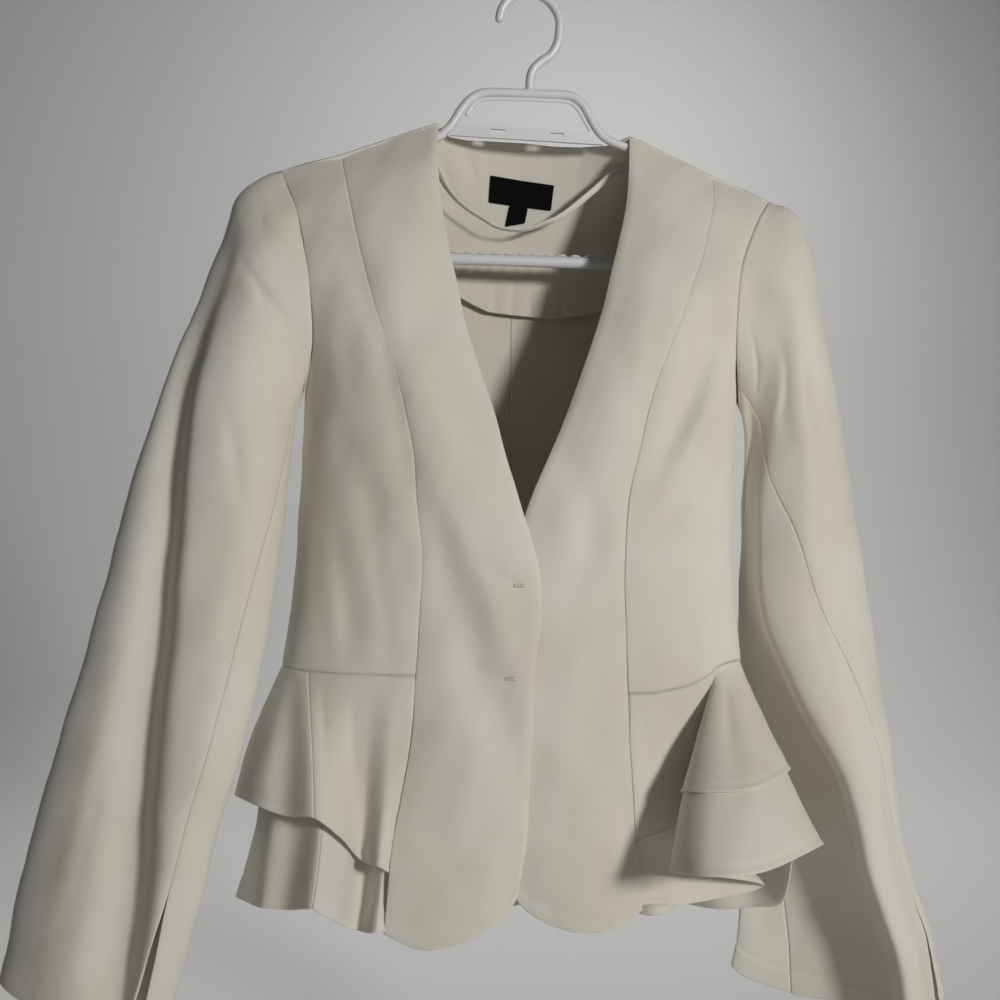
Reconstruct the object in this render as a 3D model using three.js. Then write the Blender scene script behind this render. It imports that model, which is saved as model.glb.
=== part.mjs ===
// Peplum jacket hanging on a plain white hanger, built as cloth walls in millimetres.
// Frame: the origin is the inner top of the hook, +Z up, the garment's front faces -Y, its right side is at -X.
import * as THREE from "three";

const wall = 1.6; // thickness of the cloth
const seam = 0.17; // each piece stops this far short of a seam line

// Small vector helpers on plain [x, y, z] lists.
const add = (a, b) => a.map((v, i) => v + b[i]);
const sub = (a, b) => a.map((v, i) => v - b[i]);
const scale = (a, k) => a.map((v) => v * k);
const mix = (a, b, t) => a.map((v, i) => v + (b[i] - v) * t);
const dot = (a, b) => a[0] * b[0] + a[1] * b[1] + a[2] * b[2];
const cross = (a, b) => [a[1] * b[2] - a[2] * b[1], a[2] * b[0] - a[0] * b[2], a[0] * b[1] - a[1] * b[0]];
const unit = (a) => scale(a, 1 / (Math.hypot(...a) || 1));
const clamp = (v, lo, hi) => Math.min(hi, Math.max(lo, v));
const ease = (v) => { const k = clamp(v, 0, 1); return k * k * (3 - 2 * k); };
const steps = (n, from = 0, to = 1) => Array.from({ length: n + 1 }, (_, i) => from + ((to - from) * i) / n);

// A smooth curve through the rows of a table, one row at each knot (whole numbers when none are given).
function smooth(rows, t, knots) {
  const last = rows.length - 1;
  const at = knots ?? rows.map((_, i) => i);
  let i = 0;
  while (i < last - 1 && t > at[i + 1]) i += 1;
  const span = at[i + 1] - at[i];
  const f = (t - at[i]) / span;
  const slope = (j, c) => {
    const a = Math.max(0, j - 1);
    const b = Math.min(last, j + 1);
    return (rows[b][c] - rows[a][c]) / (at[b] - at[a]);
  };
  const h1 = 2 * f ** 3 - 3 * f ** 2 + 1;
  const h2 = f ** 3 - 2 * f ** 2 + f;
  const h3 = -2 * f ** 3 + 3 * f ** 2;
  const h4 = f ** 3 - f ** 2;
  return rows[i].map((v, c) => h1 * v + h2 * span * slope(i, c) + h3 * rows[i + 1][c] + h4 * span * slope(i + 1, c));
}

// Straight-line reading of a two-column table [place, value].
function lookup(table, t) {
  let i = 0;
  while (i < table.length - 2 && t > table[i + 1][0]) i += 1;
  const [a, b] = [table[i], table[i + 1]];
  return a[1] + (b[1] - a[1]) * clamp((t - a[0]) / (b[0] - a[0]), 0, 1);
}

// Point along a list of points, where the whole numbers are the points themselves.
function along(points, t) {
  const i = Math.min(points.length - 2, Math.max(0, Math.floor(t)));
  return mix(points[i], points[i + 1], t - i);
}

// A row across a panel from a to b, rounded towards the corner point c by the share k.
function arc(a, b, c, k, u) {
  const middle = mix(a, b, 0.5);
  const pull = mix(middle, c, k);
  return a.map((v, i) => (1 - u) ** 2 * v + 2 * u * (1 - u) * pull[i] + u * u * b[i]);
}

// Normals of a grid of points, turned so that on the whole they point away from the axis point.
function normalsOf(grid, axis) {
  const rows = grid.length - 1;
  const cols = grid[0].length - 1;
  let sum = 0;
  const out = grid.map((row, j) => row.map((p, i) => {
    const across = sub(row[Math.min(cols, i + 1)], row[Math.max(0, i - 1)]);
    const down = sub(grid[Math.min(rows, j + 1)][i], grid[Math.max(0, j - 1)][i]);
    const n = unit(cross(across, down));
    sum += dot(n, sub(p, axis(p)));
    return n;
  }));
  return sum < 0 ? out.map((row) => row.map((n) => scale(n, -1))) : out;
}

// Draws the named sides of a grid in by the seam allowance.
function inset(grid, sides) {
  const out = grid.map((row) => row.map((p) => [...p]));
  const rows = grid.length - 1;
  const cols = grid[0].length - 1;
  const move = (j, i, dj, di, by) => {
    out[j][i] = add(out[j][i], scale(unit(sub(grid[j + dj][i + di], grid[j][i])), by));
  };
  for (let j = 0; j <= rows; j += 1) {
    if (sides.left) move(j, 0, 0, 1, sides.left);
    if (sides.right) move(j, cols, 0, -1, sides.right);
  }
  for (let i = 0; i <= cols; i += 1) {
    if (sides.top) move(0, i, 1, 0, sides.top);
    if (sides.bottom) move(rows, i, -1, 0, sides.bottom);
  }
  return out;
}

const cloth = new THREE.MeshStandardMaterial({ name: "ivory_cloth", color: 0xe9e3d3, roughness: 0.85 });
const plastic = new THREE.MeshStandardMaterial({ name: "white_plastic", color: 0xf2f1ee, roughness: 0.35 });
const labelCloth = new THREE.MeshStandardMaterial({ name: "black_label", color: 0x15151a, roughness: 0.7 });
const satin = new THREE.MeshStandardMaterial({ name: "satin_ribbon", color: 0xf1eee6, roughness: 0.4 });

const group = new THREE.Group();
group.name = "peplum_jacket";

// Adds a mesh from points and faces, turned so that it faces out.
function addMesh(name, points, faces, material) {
  let volume = 0;
  for (const [a, b, c] of faces) volume += dot(points[a], cross(points[b], points[c]));
  const order = volume < 0 ? faces.map(([a, b, c]) => [a, c, b]) : faces;
  const geometry = new THREE.BufferGeometry();
  geometry.setAttribute("position", new THREE.Float32BufferAttribute(points.flat(), 3));
  geometry.setIndex(order.flat());
  geometry.computeVertexNormals();
  const mesh = new THREE.Mesh(geometry, material);
  mesh.name = name;
  group.add(mesh);
}

// A closed wall from a grid of outer points: the inner points lie one thickness down the normals.
function addSheet(name, grid, normals, material = cloth, thick = wall) {
  const cols = grid[0].length;
  const rows = grid.length;
  const outer = grid.flat();
  const inner = outer.map((p, k) => sub(p, scale(normals.flat()[k], thick)));
  const points = [...outer, ...inner];
  const n = rows * cols;
  const faces = [];
  const quad = (a, b, c, d) => faces.push([a, b, c], [a, c, d]);
  for (let j = 0; j < rows - 1; j += 1) {
    for (let i = 0; i < cols - 1; i += 1) {
      const a = j * cols + i;
      quad(a, a + 1, a + cols + 1, a + cols);
      quad(n + a, n + a + cols, n + a + cols + 1, n + a + 1);
    }
  }
  const rim = [];
  for (let i = 0; i < cols - 1; i += 1) rim.push(i);
  for (let j = 0; j < rows - 1; j += 1) rim.push(j * cols + cols - 1);
  for (let i = cols - 1; i > 0; i -= 1) rim.push((rows - 1) * cols + i);
  for (let j = rows - 1; j > 0; j -= 1) rim.push(j * cols);
  rim.forEach((a, k) => {
    const b = rim[(k + 1) % rim.length];
    quad(b, a, n + a, n + b);
  });
  addMesh(name, points, faces, material);
}

// Body sections from the shoulder (row 0) by the underarm (row 5) to the waist (row 10), then on to the hem.
// Columns: x, y, z of the front edge, of the princess seam and of the armhole or side seam.
const rightBody = [
  [-71, 0, -97, -144, 0, -123, -188, 0, -137],
  [-73, -18, -129, -138, -28, -163, -177, -24, -169],
  [-70, -33, -173, -132, -45, -198, -171, -36, -200],
  [-63, -44, -216, -123, -59, -237, -167, -42, -234],
  [-53, -54, -264, -112, -67, -276, -166, -38, -270],
  [-39, -61, -309, -103, -71, -309, -172, -17, -301],
  [-30, -65, -343, -96, -71, -345, -174, -13, -338],
  [-19, -68, -381, -93, -69, -381, -177, -12, -383],
  [-6, -70, -425, -89, -66, -422, -180, -12, -428],
  [-3, -70, -465, -91, -63, -464, -185, -12, -467],
  [-8, -71, -507, -94, -64, -508, -191, -12, -508],
];
const leftBody = [
  [80, 0, -101, 148, 0, -130, 194, 0, -148],
  [75, -17, -132, 138, -27, -163, 176, -22, -169],
  [69, -28, -166, 127, -41, -196, 161, -34, -199],
  [57, -40, -207, 111, -54, -233, 155, -40, -232],
  [44, -49, -251, 95, -62, -270, 155, -36, -267],
  [27, -56, -296, 81, -66, -306, 163, -17, -311],
  [10, -60, -338, 72, -66, -342, 163, -13, -343],
  [-8, -64, -378, 64, -64, -382, 163, -12, -386],
  [-21, -66, -418, 62, -61, -427, 163, -12, -434],
  [-29, -66, -461, 63, -58, -466, 165, -12, -474],
  [-33, -67, -507, 66, -58, -528, 171, -12, -516],
];
// The centre fronts go on below the waist. Columns: x, y, z of the front edge and of the princess seam.
const rightSkirt = [
  [-11, -76, -551, -98, -70, -553],
  [-14, -80, -598, -106, -77, -594],
  [-16, -83, -630, -113, -82, -629],
  [-22, -84, -666, -119, -87, -687],
];
const leftSkirt = [
  [-31, -72, -552, 65, -66, -564],
  [-29, -77, -598, 66, -73, -600],
  [-27, -80, -634, 68, -78, -636],
  [-24, -82, -670, 71, -82, -683],
];
// Centre-back line, row by row. Columns: x, y, z.
const centreBack = [
  [1, 28, -103], [-2, 34, -130], [-4, 40, -175], [-7, 43, -215], [-8, 44, -260], [-8, 44, -302],
  [-8, 43, -342], [-7, 42, -384], [-7, 41, -430], [-7, 40, -470], [-7, 40, -514],
];
// Back of the armholes, rows 1 to 4. Columns: x, y, z.
const backArmhole = {
  right: [[-181, 15, -164], [-174, 25, -199], [-169, 28, -235], [-168, 17, -272]],
  left: [[187, 15, -172], [175, 25, -205], [165, 28, -240], [160, 17, -278]],
};
// Back neck and shoulder, from the centre back out. Columns: place across the panel, x, y, z.
const backTop = {
  right: [[0, 1, 28, -103], [0.12, -29, 26, -103], [0.2, -46, 22, -104], [0.28, -62, 13, -104], [0.35, -71, 0, -97],
    [0.72, -144, 0, -123], [1, -188, 0, -137]],
  left: [[0, 1, 28, -103], [0.12, 24, 27, -105], [0.2, 46, 22, -106], [0.28, 67, 12, -106], [0.35, 80, 0, -101],
    [0.72, 148, 0, -130], [1, 194, 0, -148]],
};
const backColumns = [0, 0.06, 0.12, 0.2, 0.28, 0.35, 0.47, 0.6, 0.72, 0.86, 1];
// Rounded lower corner of the centre fronts. Columns: place across the panel, drop below the straight line.
const hemDrop = {
  right: [[0, 0], [0.06, 8], [0.13, 13], [0.25, 17.5], [0.38, 19.5], [0.55, 20], [0.67, 19], [0.8, 14], [0.9, 7], [1, 0]],
  left: [[0, 0], [0.1, 9], [0.25, 16], [0.45, 19], [0.65, 17], [0.8, 12], [0.92, 5], [1, 0]],
};
// How far the waist seam of the side front rises above its straight line. Columns: place across, rise.
const waistRise = {
  right: [[0, 0], [0.5, 1], [1, 0]],
  left: [[0, 0], [0.12, -2], [0.28, -1], [0.42, 3], [0.52, 9], [0.62, 10], [0.78, 8], [0.9, 4], [1, 0]],
};
// Soft hollows on the fronts. Columns: x and z of each end, half width, depth.
const frontHollows = {
  right: [[-90, -400, -14, -610, 16, 3.5], [-140, -420, -132, -500, 12, 3], [-112, -300, -60, -200, 16, 3]],
  left: [[136, -240, 84, -370, 12, 5], [152, -330, 120, -400, 9, 4], [44, -380, 20, -470, 14, 3]],
};

// Depth of the hollows at x, z: each is a soft trough about a line, faded at both its ends.
function hollow(list, x, z) {
  return list.reduce((sum, [x0, z0, x1, z1, width, depth]) => {
    const dx = x1 - x0;
    const dz = z1 - z0;
    const length = Math.hypot(dx, dz);
    const t = ((x - x0) * dx + (z - z0) * dz) / length ** 2;
    const off = ((x - x0) * dz - (z - z0) * dx) / length;
    const fade = Math.sin(Math.PI * clamp(0.5 + (t - 0.5) * 0.8, 0, 1)) ** 1.5;
    return sum + depth * fade * Math.exp(-((off / width) ** 2));
  }, 0);
}

const halves = ["right", "left"];
const bodyOf = { right: rightBody, left: leftBody };
const skirtOf = { right: rightSkirt, left: leftSkirt };
const column = (rows, k) => rows.map((r) => r.slice(3 * k, 3 * k + 3));
const princess = {};
const side = {};
for (const half of halves) {
  princess[half] = [...column(bodyOf[half], 1), ...column(skirtOf[half], 1)];
  side[half] = column(bodyOf[half], 2);
}

// Centre front: from the front edge (u 0) to the princess seam (u 1), row t 0 at the shoulder to 14 at the hem.
function centreFront(half, u, t) {
  const edge = smooth([...column(bodyOf[half], 0), ...column(skirtOf[half], 0)], t);
  const b = smooth(princess[half], t);
  const bulge = 6 * ease(t / 2);
  const p = arc(edge, b, add(mix(edge, b, 0.5), [0, -2 * bulge, 0]), 1, u);
  p[2] -= lookup(hemDrop[half], u) * ease((t - 11.6) / 2.4);
  p[1] += hollow(frontHollows[half], p[0], p[2]) * Math.sin(Math.PI * clamp(u, 0, 1)) ** 0.5;
  return p;
}

// Armhole (rows 0 to 5) and side seam (rows 5 to 10): two curves that meet in a corner at the underarm.
function outerEdge(half, t, upper = side[half].slice(0, 6)) {
  return t < 5 ? smooth(upper, t) : smooth(side[half].slice(5), t - 5);
}

// Side front: from the princess seam (u 0) to the armhole or side seam (u 1), row t 0 to 10 at the waist.
function sideFront(half, u, t) {
  const a = smooth(princess[half], t);
  const b = outerEdge(half, t);
  const p = arc(a, b, [b[0], a[1] - 2, (a[2] + b[2]) / 2], 0.15 + 0.6 * ease((t - 3) / 3), u);
  p[2] += lookup(waistRise[half], u) * ease((t - 7.5) / 2.5);
  p[1] += hollow(frontHollows[half], p[0], p[2]) * Math.sin(Math.PI * clamp(u, 0, 1)) ** 0.5;
  return p;
}

// Back: from the centre back (u 0) to the armhole or side seam (u 1), row t 0 to 10 at the waist.
function backPanel(half, u, t) {
  const upper = [side[half][0], ...backArmhole[half], side[half][5]];
  const base = (row) => {
    const a = smooth(centreBack, row);
    const b = outerEdge(half, row, upper);
    return arc(a, b, [b[0], a[1] + 3, (a[2] + b[2]) / 2], 0.3 + 0.55 * ease((row - 1.5) / 3.5), u);
  };
  const table = backTop[half];
  let i = 0;
  while (i < table.length - 2 && u > table[i + 1][0]) i += 1;
  const f = (u - table[i][0]) / (table[i + 1][0] - table[i][0]);
  const top = mix(table[i].slice(1), table[i + 1].slice(1), f);
  const fade = clamp(1 - t / 2.2, 0, 1) ** 2;
  return add(base(t), scale(sub(top, base(0)), fade));
}

const bodyAxis = (p) => [0, -10, p[2]];
const frontRows = steps(28, 0, 14);
const bodyRows = steps(20, 0, 10);
const frontColumns = steps(7);
const sheets = {};
for (const half of halves) {
  sheets[`front_centre_${half}`] = frontRows.map((t) => frontColumns.map((u) => centreFront(half, u, t)));
  sheets[`front_side_${half}`] = bodyRows.map((t) => steps(8).map((u) => sideFront(half, u, t)));
  sheets[`back_${half}`] = bodyRows.map((t) => backColumns.map((u) => backPanel(half, u, t)));
}

// The right front laps over the left one: the left is moved back, row by row, until it lies clear behind.
function lapBehind(under, top, gap) {
  const over = top.map((row) => [add(row[0], scale(sub(row[0], row[1]), 1.3)), ...row]);
  const need = under.map((row) => {
    let push = 0;
    for (const p of row) {
      for (let j = 0; j < over.length - 1; j += 1) {
        for (let i = 0; i < over[0].length - 1; i += 1) {
          const quad = [over[j][i], over[j][i + 1], over[j + 1][i + 1], over[j + 1][i]];
          for (const [a, b, c] of [[quad[0], quad[1], quad[2]], [quad[0], quad[2], quad[3]]]) {
            const area = (b[0] - a[0]) * (c[2] - a[2]) - (c[0] - a[0]) * (b[2] - a[2]);
            const wb = ((p[0] - a[0]) * (c[2] - a[2]) - (c[0] - a[0]) * (p[2] - a[2])) / area;
            const wc = ((b[0] - a[0]) * (p[2] - a[2]) - (p[0] - a[0]) * (b[2] - a[2])) / area;
            if (wb >= -0.05 && wc >= -0.05 && wb + wc <= 1.05) {
              push = Math.max(push, a[1] * (1 - wb - wc) + b[1] * wb + c[1] * wc + gap - p[1]);
            }
          }
        }
      }
    }
    return push;
  });
  const soft = need.map((_, j) => Math.max(...need.slice(Math.max(0, j - 1), j + 2)));
  return under.map((row, j) => row.map((p, i) => add(p, [0, soft[j] * (1 - ease(i / (row.length - 1))), 0])));
}
sheets.front_centre_left = lapBehind(sheets.front_centre_left, sheets.front_centre_right, wall + 2);

const normals = {};
for (const name of Object.keys(sheets)) normals[name] = normalsOf(sheets[name], bodyAxis);

// Two edges sewn together share one normal, so that their walls end in a mitre.
function sew(a, placeA, b, placeB, count) {
  for (let k = 0; k < count; k += 1) {
    const [ja, ia] = placeA(k);
    const [jb, ib] = placeB(k);
    const n = unit(add(normals[a][ja][ia], normals[b][jb][ib]));
    normals[a][ja][ia] = n;
    normals[b][jb][ib] = n;
  }
}
for (const half of halves) {
  const [front, sidePanel, back] = [`front_centre_${half}`, `front_side_${half}`, `back_${half}`];
  const wide = sheets[back][0].length - 1;
  sew(front, (k) => [k, 7], sidePanel, (k) => [k, 0], 21);
  sew(sidePanel, (k) => [k + 10, 8], back, (k) => [k + 10, wide], 11);
  const [, , , , , , x0, , z0] = bodyOf[half][0];
  const [x1, , z1] = bodyOf[half][0];
  const up = unit([-(z0 - z1), 0, x0 - x1]);
  const ridge = up[2] < 0 ? scale(up, -1) : up;
  for (const name of [front, sidePanel]) normals[name][0] = normals[name][0].map(() => ridge);
  normals[back][0] = normals[back][0].map((n, i) => (i >= 5 ? ridge : n));
}
sew("back_right", (k) => [k, 0], "back_left", (k) => [k, 0], 21);

// Sleeves: closed sections from the armhole (row 0) to the cuff. Columns: x, y, z of the outer and inner edges, then
// the share of the way from outer to inner edge and the y of each point between, round the front and back by the back.
const sleeveRows = {
  right: [
    [-188, 0, -137, -172, -17, -301, 0.25, -34, 0.5, -42, 0.75, -38, 0.75, 15, 0.5, 26, 0.25, 16],
    [-205, -4, -145, -175, -17, -308, 0.25, -36, 0.5, -46, 0.78, -40, 0.75, 12, 0.5, 24, 0.25, 17],
    [-221, -8, -162, -178, -18, -321, 0.25, -39, 0.5, -48, 0.78, -42, 0.75, 10, 0.5, 23, 0.25, 17],
    [-233, -12, -197, -181, -20, -343, 0.25, -43, 0.5, -51, 0.8, -45, 0.76, 8, 0.5, 20, 0.25, 15],
    [-250, -16, -241, -185, -24, -377, 0.22, -46, 0.5, -56, 0.8, -50, 0.78, 4, 0.5, 17, 0.25, 13],
    [-276, -20, -306, -190, -32, -420, 0.22, -48, 0.5, -60, 0.8, -57, 0.8, -6, 0.55, 13, 0.28, 11],
    [-300, -22, -382, -197, -42, -465, 0.22, -50, 0.5, -62, 0.8, -64, 0.82, -16, 0.58, 8, 0.3, 10],
    [-320, -24, -458, -206, -52, -510, 0.22, -52, 0.5, -66, 0.8, -72, 0.84, -24, 0.6, 4, 0.3, 9],
    [-340, -25, -526, -217, -60, -560, 0.22, -54, 0.5, -70, 0.8, -79, 0.86, -32, 0.62, 0, 0.3, 8],
    [-360, -26, -591, -229, -66, -596, 0.22, -56, 0.5, -74, 0.8, -84, 0.86, -36, 0.62, -2, 0.3, 8],
    [-378, -26, -657, -245, -70, -658, 0.22, -58, 0.5, -76, 0.8, -88, 0.86, -40, 0.62, -4, 0.3, 8],
    [-393, -26, -728, -272, -68, -758, 0.22, -59, 0.5, -78, 0.8, -88, 0.86, -40, 0.62, -4, 0.3, 8],
  ],
  left: [
    [194, 0, -148, 163, -17, -311, 0.22, -32, 0.45, -40, 0.65, -38, 0.8, -33, 0.92, -26, 0.6, 20, 0.3, 18],
    [215, -3, -159, 167, -17, -322, 0.24, -33, 0.45, -43, 0.66, -41, 0.82, -35, 0.94, -27, 0.6, 20, 0.3, 17],
    [228, -8, -197, 170, -15, -338, 0.24, -36, 0.46, -46, 0.7, -44, 0.85, -36, 0.95, -26, 0.6, 20, 0.3, 15],
    [237, -12, -259, 170, -14, -374, 0.24, -40, 0.5, -50, 0.84, -42, 0.95, -30, 0.99, -20, 0.6, 20, 0.3, 14],
    [253, -15, -344, 171, -10, -414, 0.26, -44, 0.56, -54, 0.93, -42, 0.97, -28, 0.99, -16, 0.6, 24, 0.3, 15],
    [269, -15, -435, 176, 10, -476, 0.28, -46, 0.62, -56, 0.96, -44, 0.94, -20, 0.98, -2, 0.62, 30, 0.3, 18],
    [282, -15, -508, 185, 28, -546, 0.24, -46, 0.52, -56, 0.79, -48, 0.76, -14, 0.9, 12, 0.7, 40, 0.3, 22],
    [295, -15, -587, 190, 36, -629, 0.15, -38, 0.32, -50, 0.49, -46, 0.46, -8, 0.74, 25, 0.72, 50, 0.28, 28],
    [311, -12, -672, 192, 41, -714, 0.12, -32, 0.25, -44, 0.37, -42, 0.36, -2, 0.7, 30, 0.72, 54, 0.25, 32],
    [339, -8, -751, 191, 43, -758, 0.1, -26, 0.21, -40, 0.32, -40, 0.31, 2, 0.68, 33, 0.72, 56, 0.22, 34],
    [353, -8, -819, 186, 44, -790, 0.1, -26, 0.2, -38, 0.305, -38, 0.3, 4, 0.66, 34, 0.72, 57, 0.22, 34],
  ],
};
// Seams of the sleeves, row by row, as places among the points round a section (0 is the outer edge).
// Columns: front seam, back seam.
const sleeveSeams = {
  right: [[3.85, 6.2], [3.8, 6.2], [3.73, 6.2], [3.65, 6.2], [3.5, 6.2], [3.35, 6.2], [3.2, 6.25], [3.13, 6.3], [3.08, 6.3],
    [3.1, 6.3], [3.1, 6.3], [3.05, 6.3]],
  left: [[5.5, 7.0], [4.6, 6.9], [3.9, 6.7], [3.15, 6.5], [2.45, 6.25], [1.88, 5.7], [1.4, 5.25], [0.98, 5.1], [0.76, 5.1],
    [0.7, 5.1], [0.7, 5.1]],
};
// Long hollow down each sleeve. Columns: row, place among the points, half width in places, depth in mm.
const sleeveHollow = {
  right: [[0, 1.3, 0.3, 0], [2, 1.2, 0.35, 2], [4, 1.05, 0.4, 7], [6, 1.3, 0.4, 10], [8, 1.8, 0.42, 12], [10, 2.5, 0.42, 12],
    [11, 2.75, 0.42, 11]],
  left: [[0, 1.5, 0.3, 0], [2, 1.5, 0.35, 2], [4, 1.3, 0.4, 5], [6, 1.5, 0.3, 3], [8, 1.2, 0.3, 1], [10, 1.2, 0.3, 0]],
};
// Drop of the cuff below the straight line between its edges. Columns: place among the points, mm.
const cuffDrop = {
  right: [[0, 0], [8, 0]],
  left: [[0, 0], [3, 0], [4, 10], [5, 17], [5.6, 10], [6, 0], [7, 14], [8, 10], [9, 0]],
};
const slitRow = { right: 9.8, left: 8.3 }; // the front seam is open below this row
const slitWide = { right: 0.09, left: 0.07 }; // half of the opening at the cuff, in places
const innerPlace = { right: 4, left: 6 }; // where the inner edge is among the points

// The armhole, as the edge points of the side front and of the back, with their shared normals.
const armhole = {};

// Point on a sleeve section: t is the row, q the place among the section's points.
function sleevePoint(half, t, q, free = false) {
  const rows = sleeveRows[half];
  const count = (rows[0].length - 6) / 2 + 2;
  const inner = innerPlace[half];
  const row = smooth(rows, t);
  const outerEdge = row.slice(0, 3);
  const innerEdge = row.slice(3, 6);
  const between = (k) => {
    const [share, y] = row.slice(6 + 2 * k, 8 + 2 * k);
    const p = mix(outerEdge, innerEdge, share);
    return [p[0], y, p[2]];
  };
  const points = [];
  for (let k = 0; k < count; k += 1) {
    if (k === 0) points.push(outerEdge);
    else if (k === inner) points.push(innerEdge);
    else points.push(between(k < inner ? k - 1 : k - 2));
  }
  const at = (k) => points[((k % count) + count) % count];
  const place = ((q % count) + count) % count;
  const i = Math.floor(place);
  const f = place - i;
  const p = [0, 1, 2].map((c) => {
    const [a, b, d, e] = [at(i - 1)[c], at(i)[c], at(i + 1)[c], at(i + 2)[c]];
    return b + 0.5 * f * (d - a + f * (2 * a - 5 * b + 4 * d - e + f * (3 * (b - d) + e - a)));
  });
  const [, centre, wide, deep] = smooth(sleeveHollow[half], t, sleeveHollow[half].map((r) => r[0]));
  p[1] += deep * Math.exp(-(((place - centre) / wide) ** 2));
  p[2] -= lookup(cuffDrop[half], place) * ease((t - rows.length + 3.5) / 2.5);
  if (free) return p;
  const fade = clamp(1 - t / 1.6, 0, 1) ** 2;
  return fade ? add(p, scale(sub(armholePoint(half, place), sleevePoint(half, 0, q, true)), fade)) : p;
}

// Point on the armhole at the same place, along the chords of the body's rows.
function armholePoint(half, place, list = "points") {
  const rows = sleeveRows[half];
  const count = (rows[0].length - 6) / 2 + 2;
  const inner = innerPlace[half];
  const { [list]: ring } = armhole[half];
  return place <= inner ? along(ring.front, (10 * place) / inner) : along(ring.back, (10 * (count - place)) / (count - inner));
}

const sleeveSize = { right: [14, 9], left: [12, 13] }; // columns of the top and the under sleeve
for (const half of halves) {
  const frontEdge = sheets[`front_side_${half}`].slice(0, 11).map((row) => row[row.length - 1]);
  const backEdge = sheets[`back_${half}`].slice(0, 11).map((row) => row[row.length - 1]);
  armhole[half] = { points: { front: frontEdge, back: backEdge } };
  const rows = sleeveRows[half];
  const count = (rows[0].length - 6) / 2 + 2;
  const inner = innerPlace[half];
  const last = rows.length - 1;
  const centre = (t) => mix(sleevePoint(half, t, 0), sleevePoint(half, t, inner), 0.5);
  const lines = steps(2 * last, 0, last);
  const seams = (t) => smooth(sleeveSeams[half], t);
  const open = (t) => slitWide[half] * ease((t - slitRow[half]) / (last - slitRow[half]));
  const make = (from, to, size) => lines.map((t) => steps(size).map((u) => sleevePoint(half, t, from(t) + (to(t) - from(t)) * u)));
  const [topSize, underSize] = sleeveSize[half];
  sheets[`sleeve_top_${half}`] = make((t) => seams(t)[1] - count, (t) => seams(t)[0] - open(t), topSize);
  sheets[`sleeve_under_${half}`] = make((t) => seams(t)[0] + open(t), (t) => seams(t)[1], underSize);
  // The mitre along the armhole: the sleeve's normal there joined with the body's.
  const sleeveNormal = (q) => {
    const n = unit(cross(
      sub(sleevePoint(half, 0.3, q + 0.15), sleevePoint(half, 0.3, q - 0.15)),
      sub(sleevePoint(half, 0.6, q), sleevePoint(half, 0.02, q)),
    ));
    const out = sub(sleevePoint(half, 0.3, q), centre(0.6));
    return dot(n, out) < 0 ? scale(n, -1) : n;
  };
  const joined = (panel, toPlace) => panel.slice(0, 11).map((row, k) => {
    if (k === 0) return row[row.length - 1];
    return unit(add(row[row.length - 1], sleeveNormal(toPlace(k))));
  });
  const frontNormals = joined(normals[`front_side_${half}`], (k) => (inner * k) / 10);
  const backNormals = joined(normals[`back_${half}`], (k) => count - ((count - inner) * k) / 10);
  const under = unit(add(frontNormals[10], backNormals[10]));
  frontNormals[10] = under;
  backNormals[10] = under;
  frontNormals.forEach((n, k) => { const row = normals[`front_side_${half}`][k]; row[row.length - 1] = n; });
  backNormals.forEach((n, k) => { const row = normals[`back_${half}`][k]; row[row.length - 1] = n; });
  armhole[half].normals = { front: frontNormals, back: backNormals };
  for (const part of ["top", "under"]) {
    const name = `sleeve_${part}_${half}`;
    normals[name] = normalsOf(sheets[name], (p) => {
      const t = last * clamp((p[2] - rows[0][5]) / (rows[last][5] - rows[0][5]), 0, 1);
      return centre(t);
    });
    const [from, to, size] = part === "top"
      ? [seams(0)[1] - count, seams(0)[0], topSize] : [seams(0)[0], seams(0)[1], underSize];
    normals[name][0] = steps(size).map((u) => {
      const q = from + (to - from) * u;
      return unit(armholePoint(half, ((q % count) + count) % count, "normals"));
    });
  }
  sew(`sleeve_top_${half}`, (k) => [k, topSize], `sleeve_under_${half}`, (k) => [k, 0], lines.length);
  sew(`sleeve_top_${half}`, (k) => [k, 0], `sleeve_under_${half}`, (k) => [k, underSize], lines.length);
}

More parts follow.
